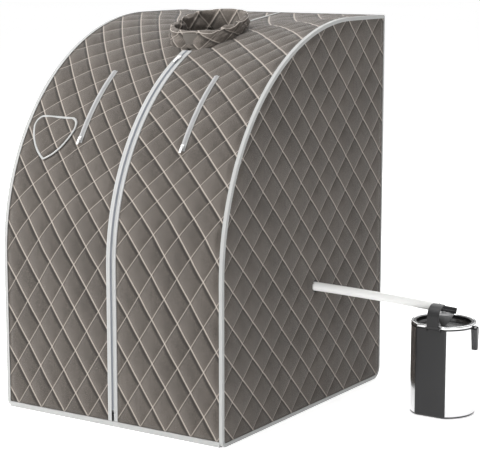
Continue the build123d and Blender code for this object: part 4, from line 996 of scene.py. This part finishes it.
def round_cord(name, ring, radius, material):
    """A thin closed cord along a ring of points."""
    data = bpy.data.curves.new(name, "CURVE")
    data.dimensions = "3D"
    data.bevel_depth = radius
    data.bevel_resolution = 3
    spline = data.splines.new("POLY")
    spline.points.add(len(ring) - 1)
    spline.points.foreach_set("co", np.concatenate([ring, np.ones((len(ring), 1))], axis=1).ravel())
    spline.use_cyclic_u = True
    data.materials.append(material)
    piece = add_object(name, data)
    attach(piece, "tent")


collar_edge = make_collar()
round_cord("collar_piping", collar_edge + np.array([0, 0, PIPING_LIFT]), PIPING_RADIUS,
           MATERIALS["tab_thread"])


# ---- Floor and light ----
FLOOR_REACH = 60.0
FLOOR_Z = -0.0002
FLOOR_GREY = (0.93, 0.93, 0.93)
FLOOR_PALE = (0.96, 0.96, 0.96)
FLOOR_GLOW = 0.6
SKY_STRENGTH = 0.42
WHITE = (1, 1, 1)
LIGHT_AIM = Vector((0.1, 0.0, 0.5))


def make_floor():
    """A wide pale floor that glows a little, so that it stays plain out to the horizon."""
    corners = ((-1, -1), (1, -1), (1, 1), (-1, 1))
    points = [(x * FLOOR_REACH, y * FLOOR_REACH, FLOOR_Z) for x, y in corners]
    paint = Nodes("floor_paint", FLOOR_GREY, 0.7)
    paint.colour(paint.mix(paint.noise(scale=1.5, detail=3.0), FLOOR_GREY, FLOOR_PALE))
    paint.set("Emission Color", (*WHITE, 1))
    paint.set("Emission Strength", FLOOR_GLOW)
    floor = build_mesh("floor", np.array(points), np.array([(0, 1, 2, 3)]), [paint.material], {})


def make_sky():
    """An even white surround."""
    world = bpy.data.worlds.new("studio")
    world.use_nodes = True
    background = world.node_tree.nodes["Background"]
    background.inputs["Color"].default_value = (*WHITE, 1)
    background.inputs["Strength"].default_value = SKY_STRENGTH
    bpy.context.scene.world = world
    bpy.context.scene.view_settings.view_transform = "Standard"


def area_light(name, place, size, power, colour=WHITE):
    """A soft square light that looks at the cabin."""
    data = bpy.data.lights.new(name, "AREA")
    data.size = size
    data.energy = power
    data.color = colour
    light = add_object(name, data)
    light.location = place
    light.rotation_euler = (LIGHT_AIM - Vector(place)).to_track_quat("-Z", "Y").to_euler()


make_floor()
make_sky()
area_light("key", (-3.6, -2.6, 1.5), size=1.2, power=165, colour=(1.0, 0.99, 0.97))
area_light("top", (-0.6, -1.0, 4.2), size=2.4, power=150)
area_light("side", (4.0, -1.6, 2.6), size=1.6, power=20)
area_light("back", (-1.0, 3.2, 3.0), size=3.0, power=90)
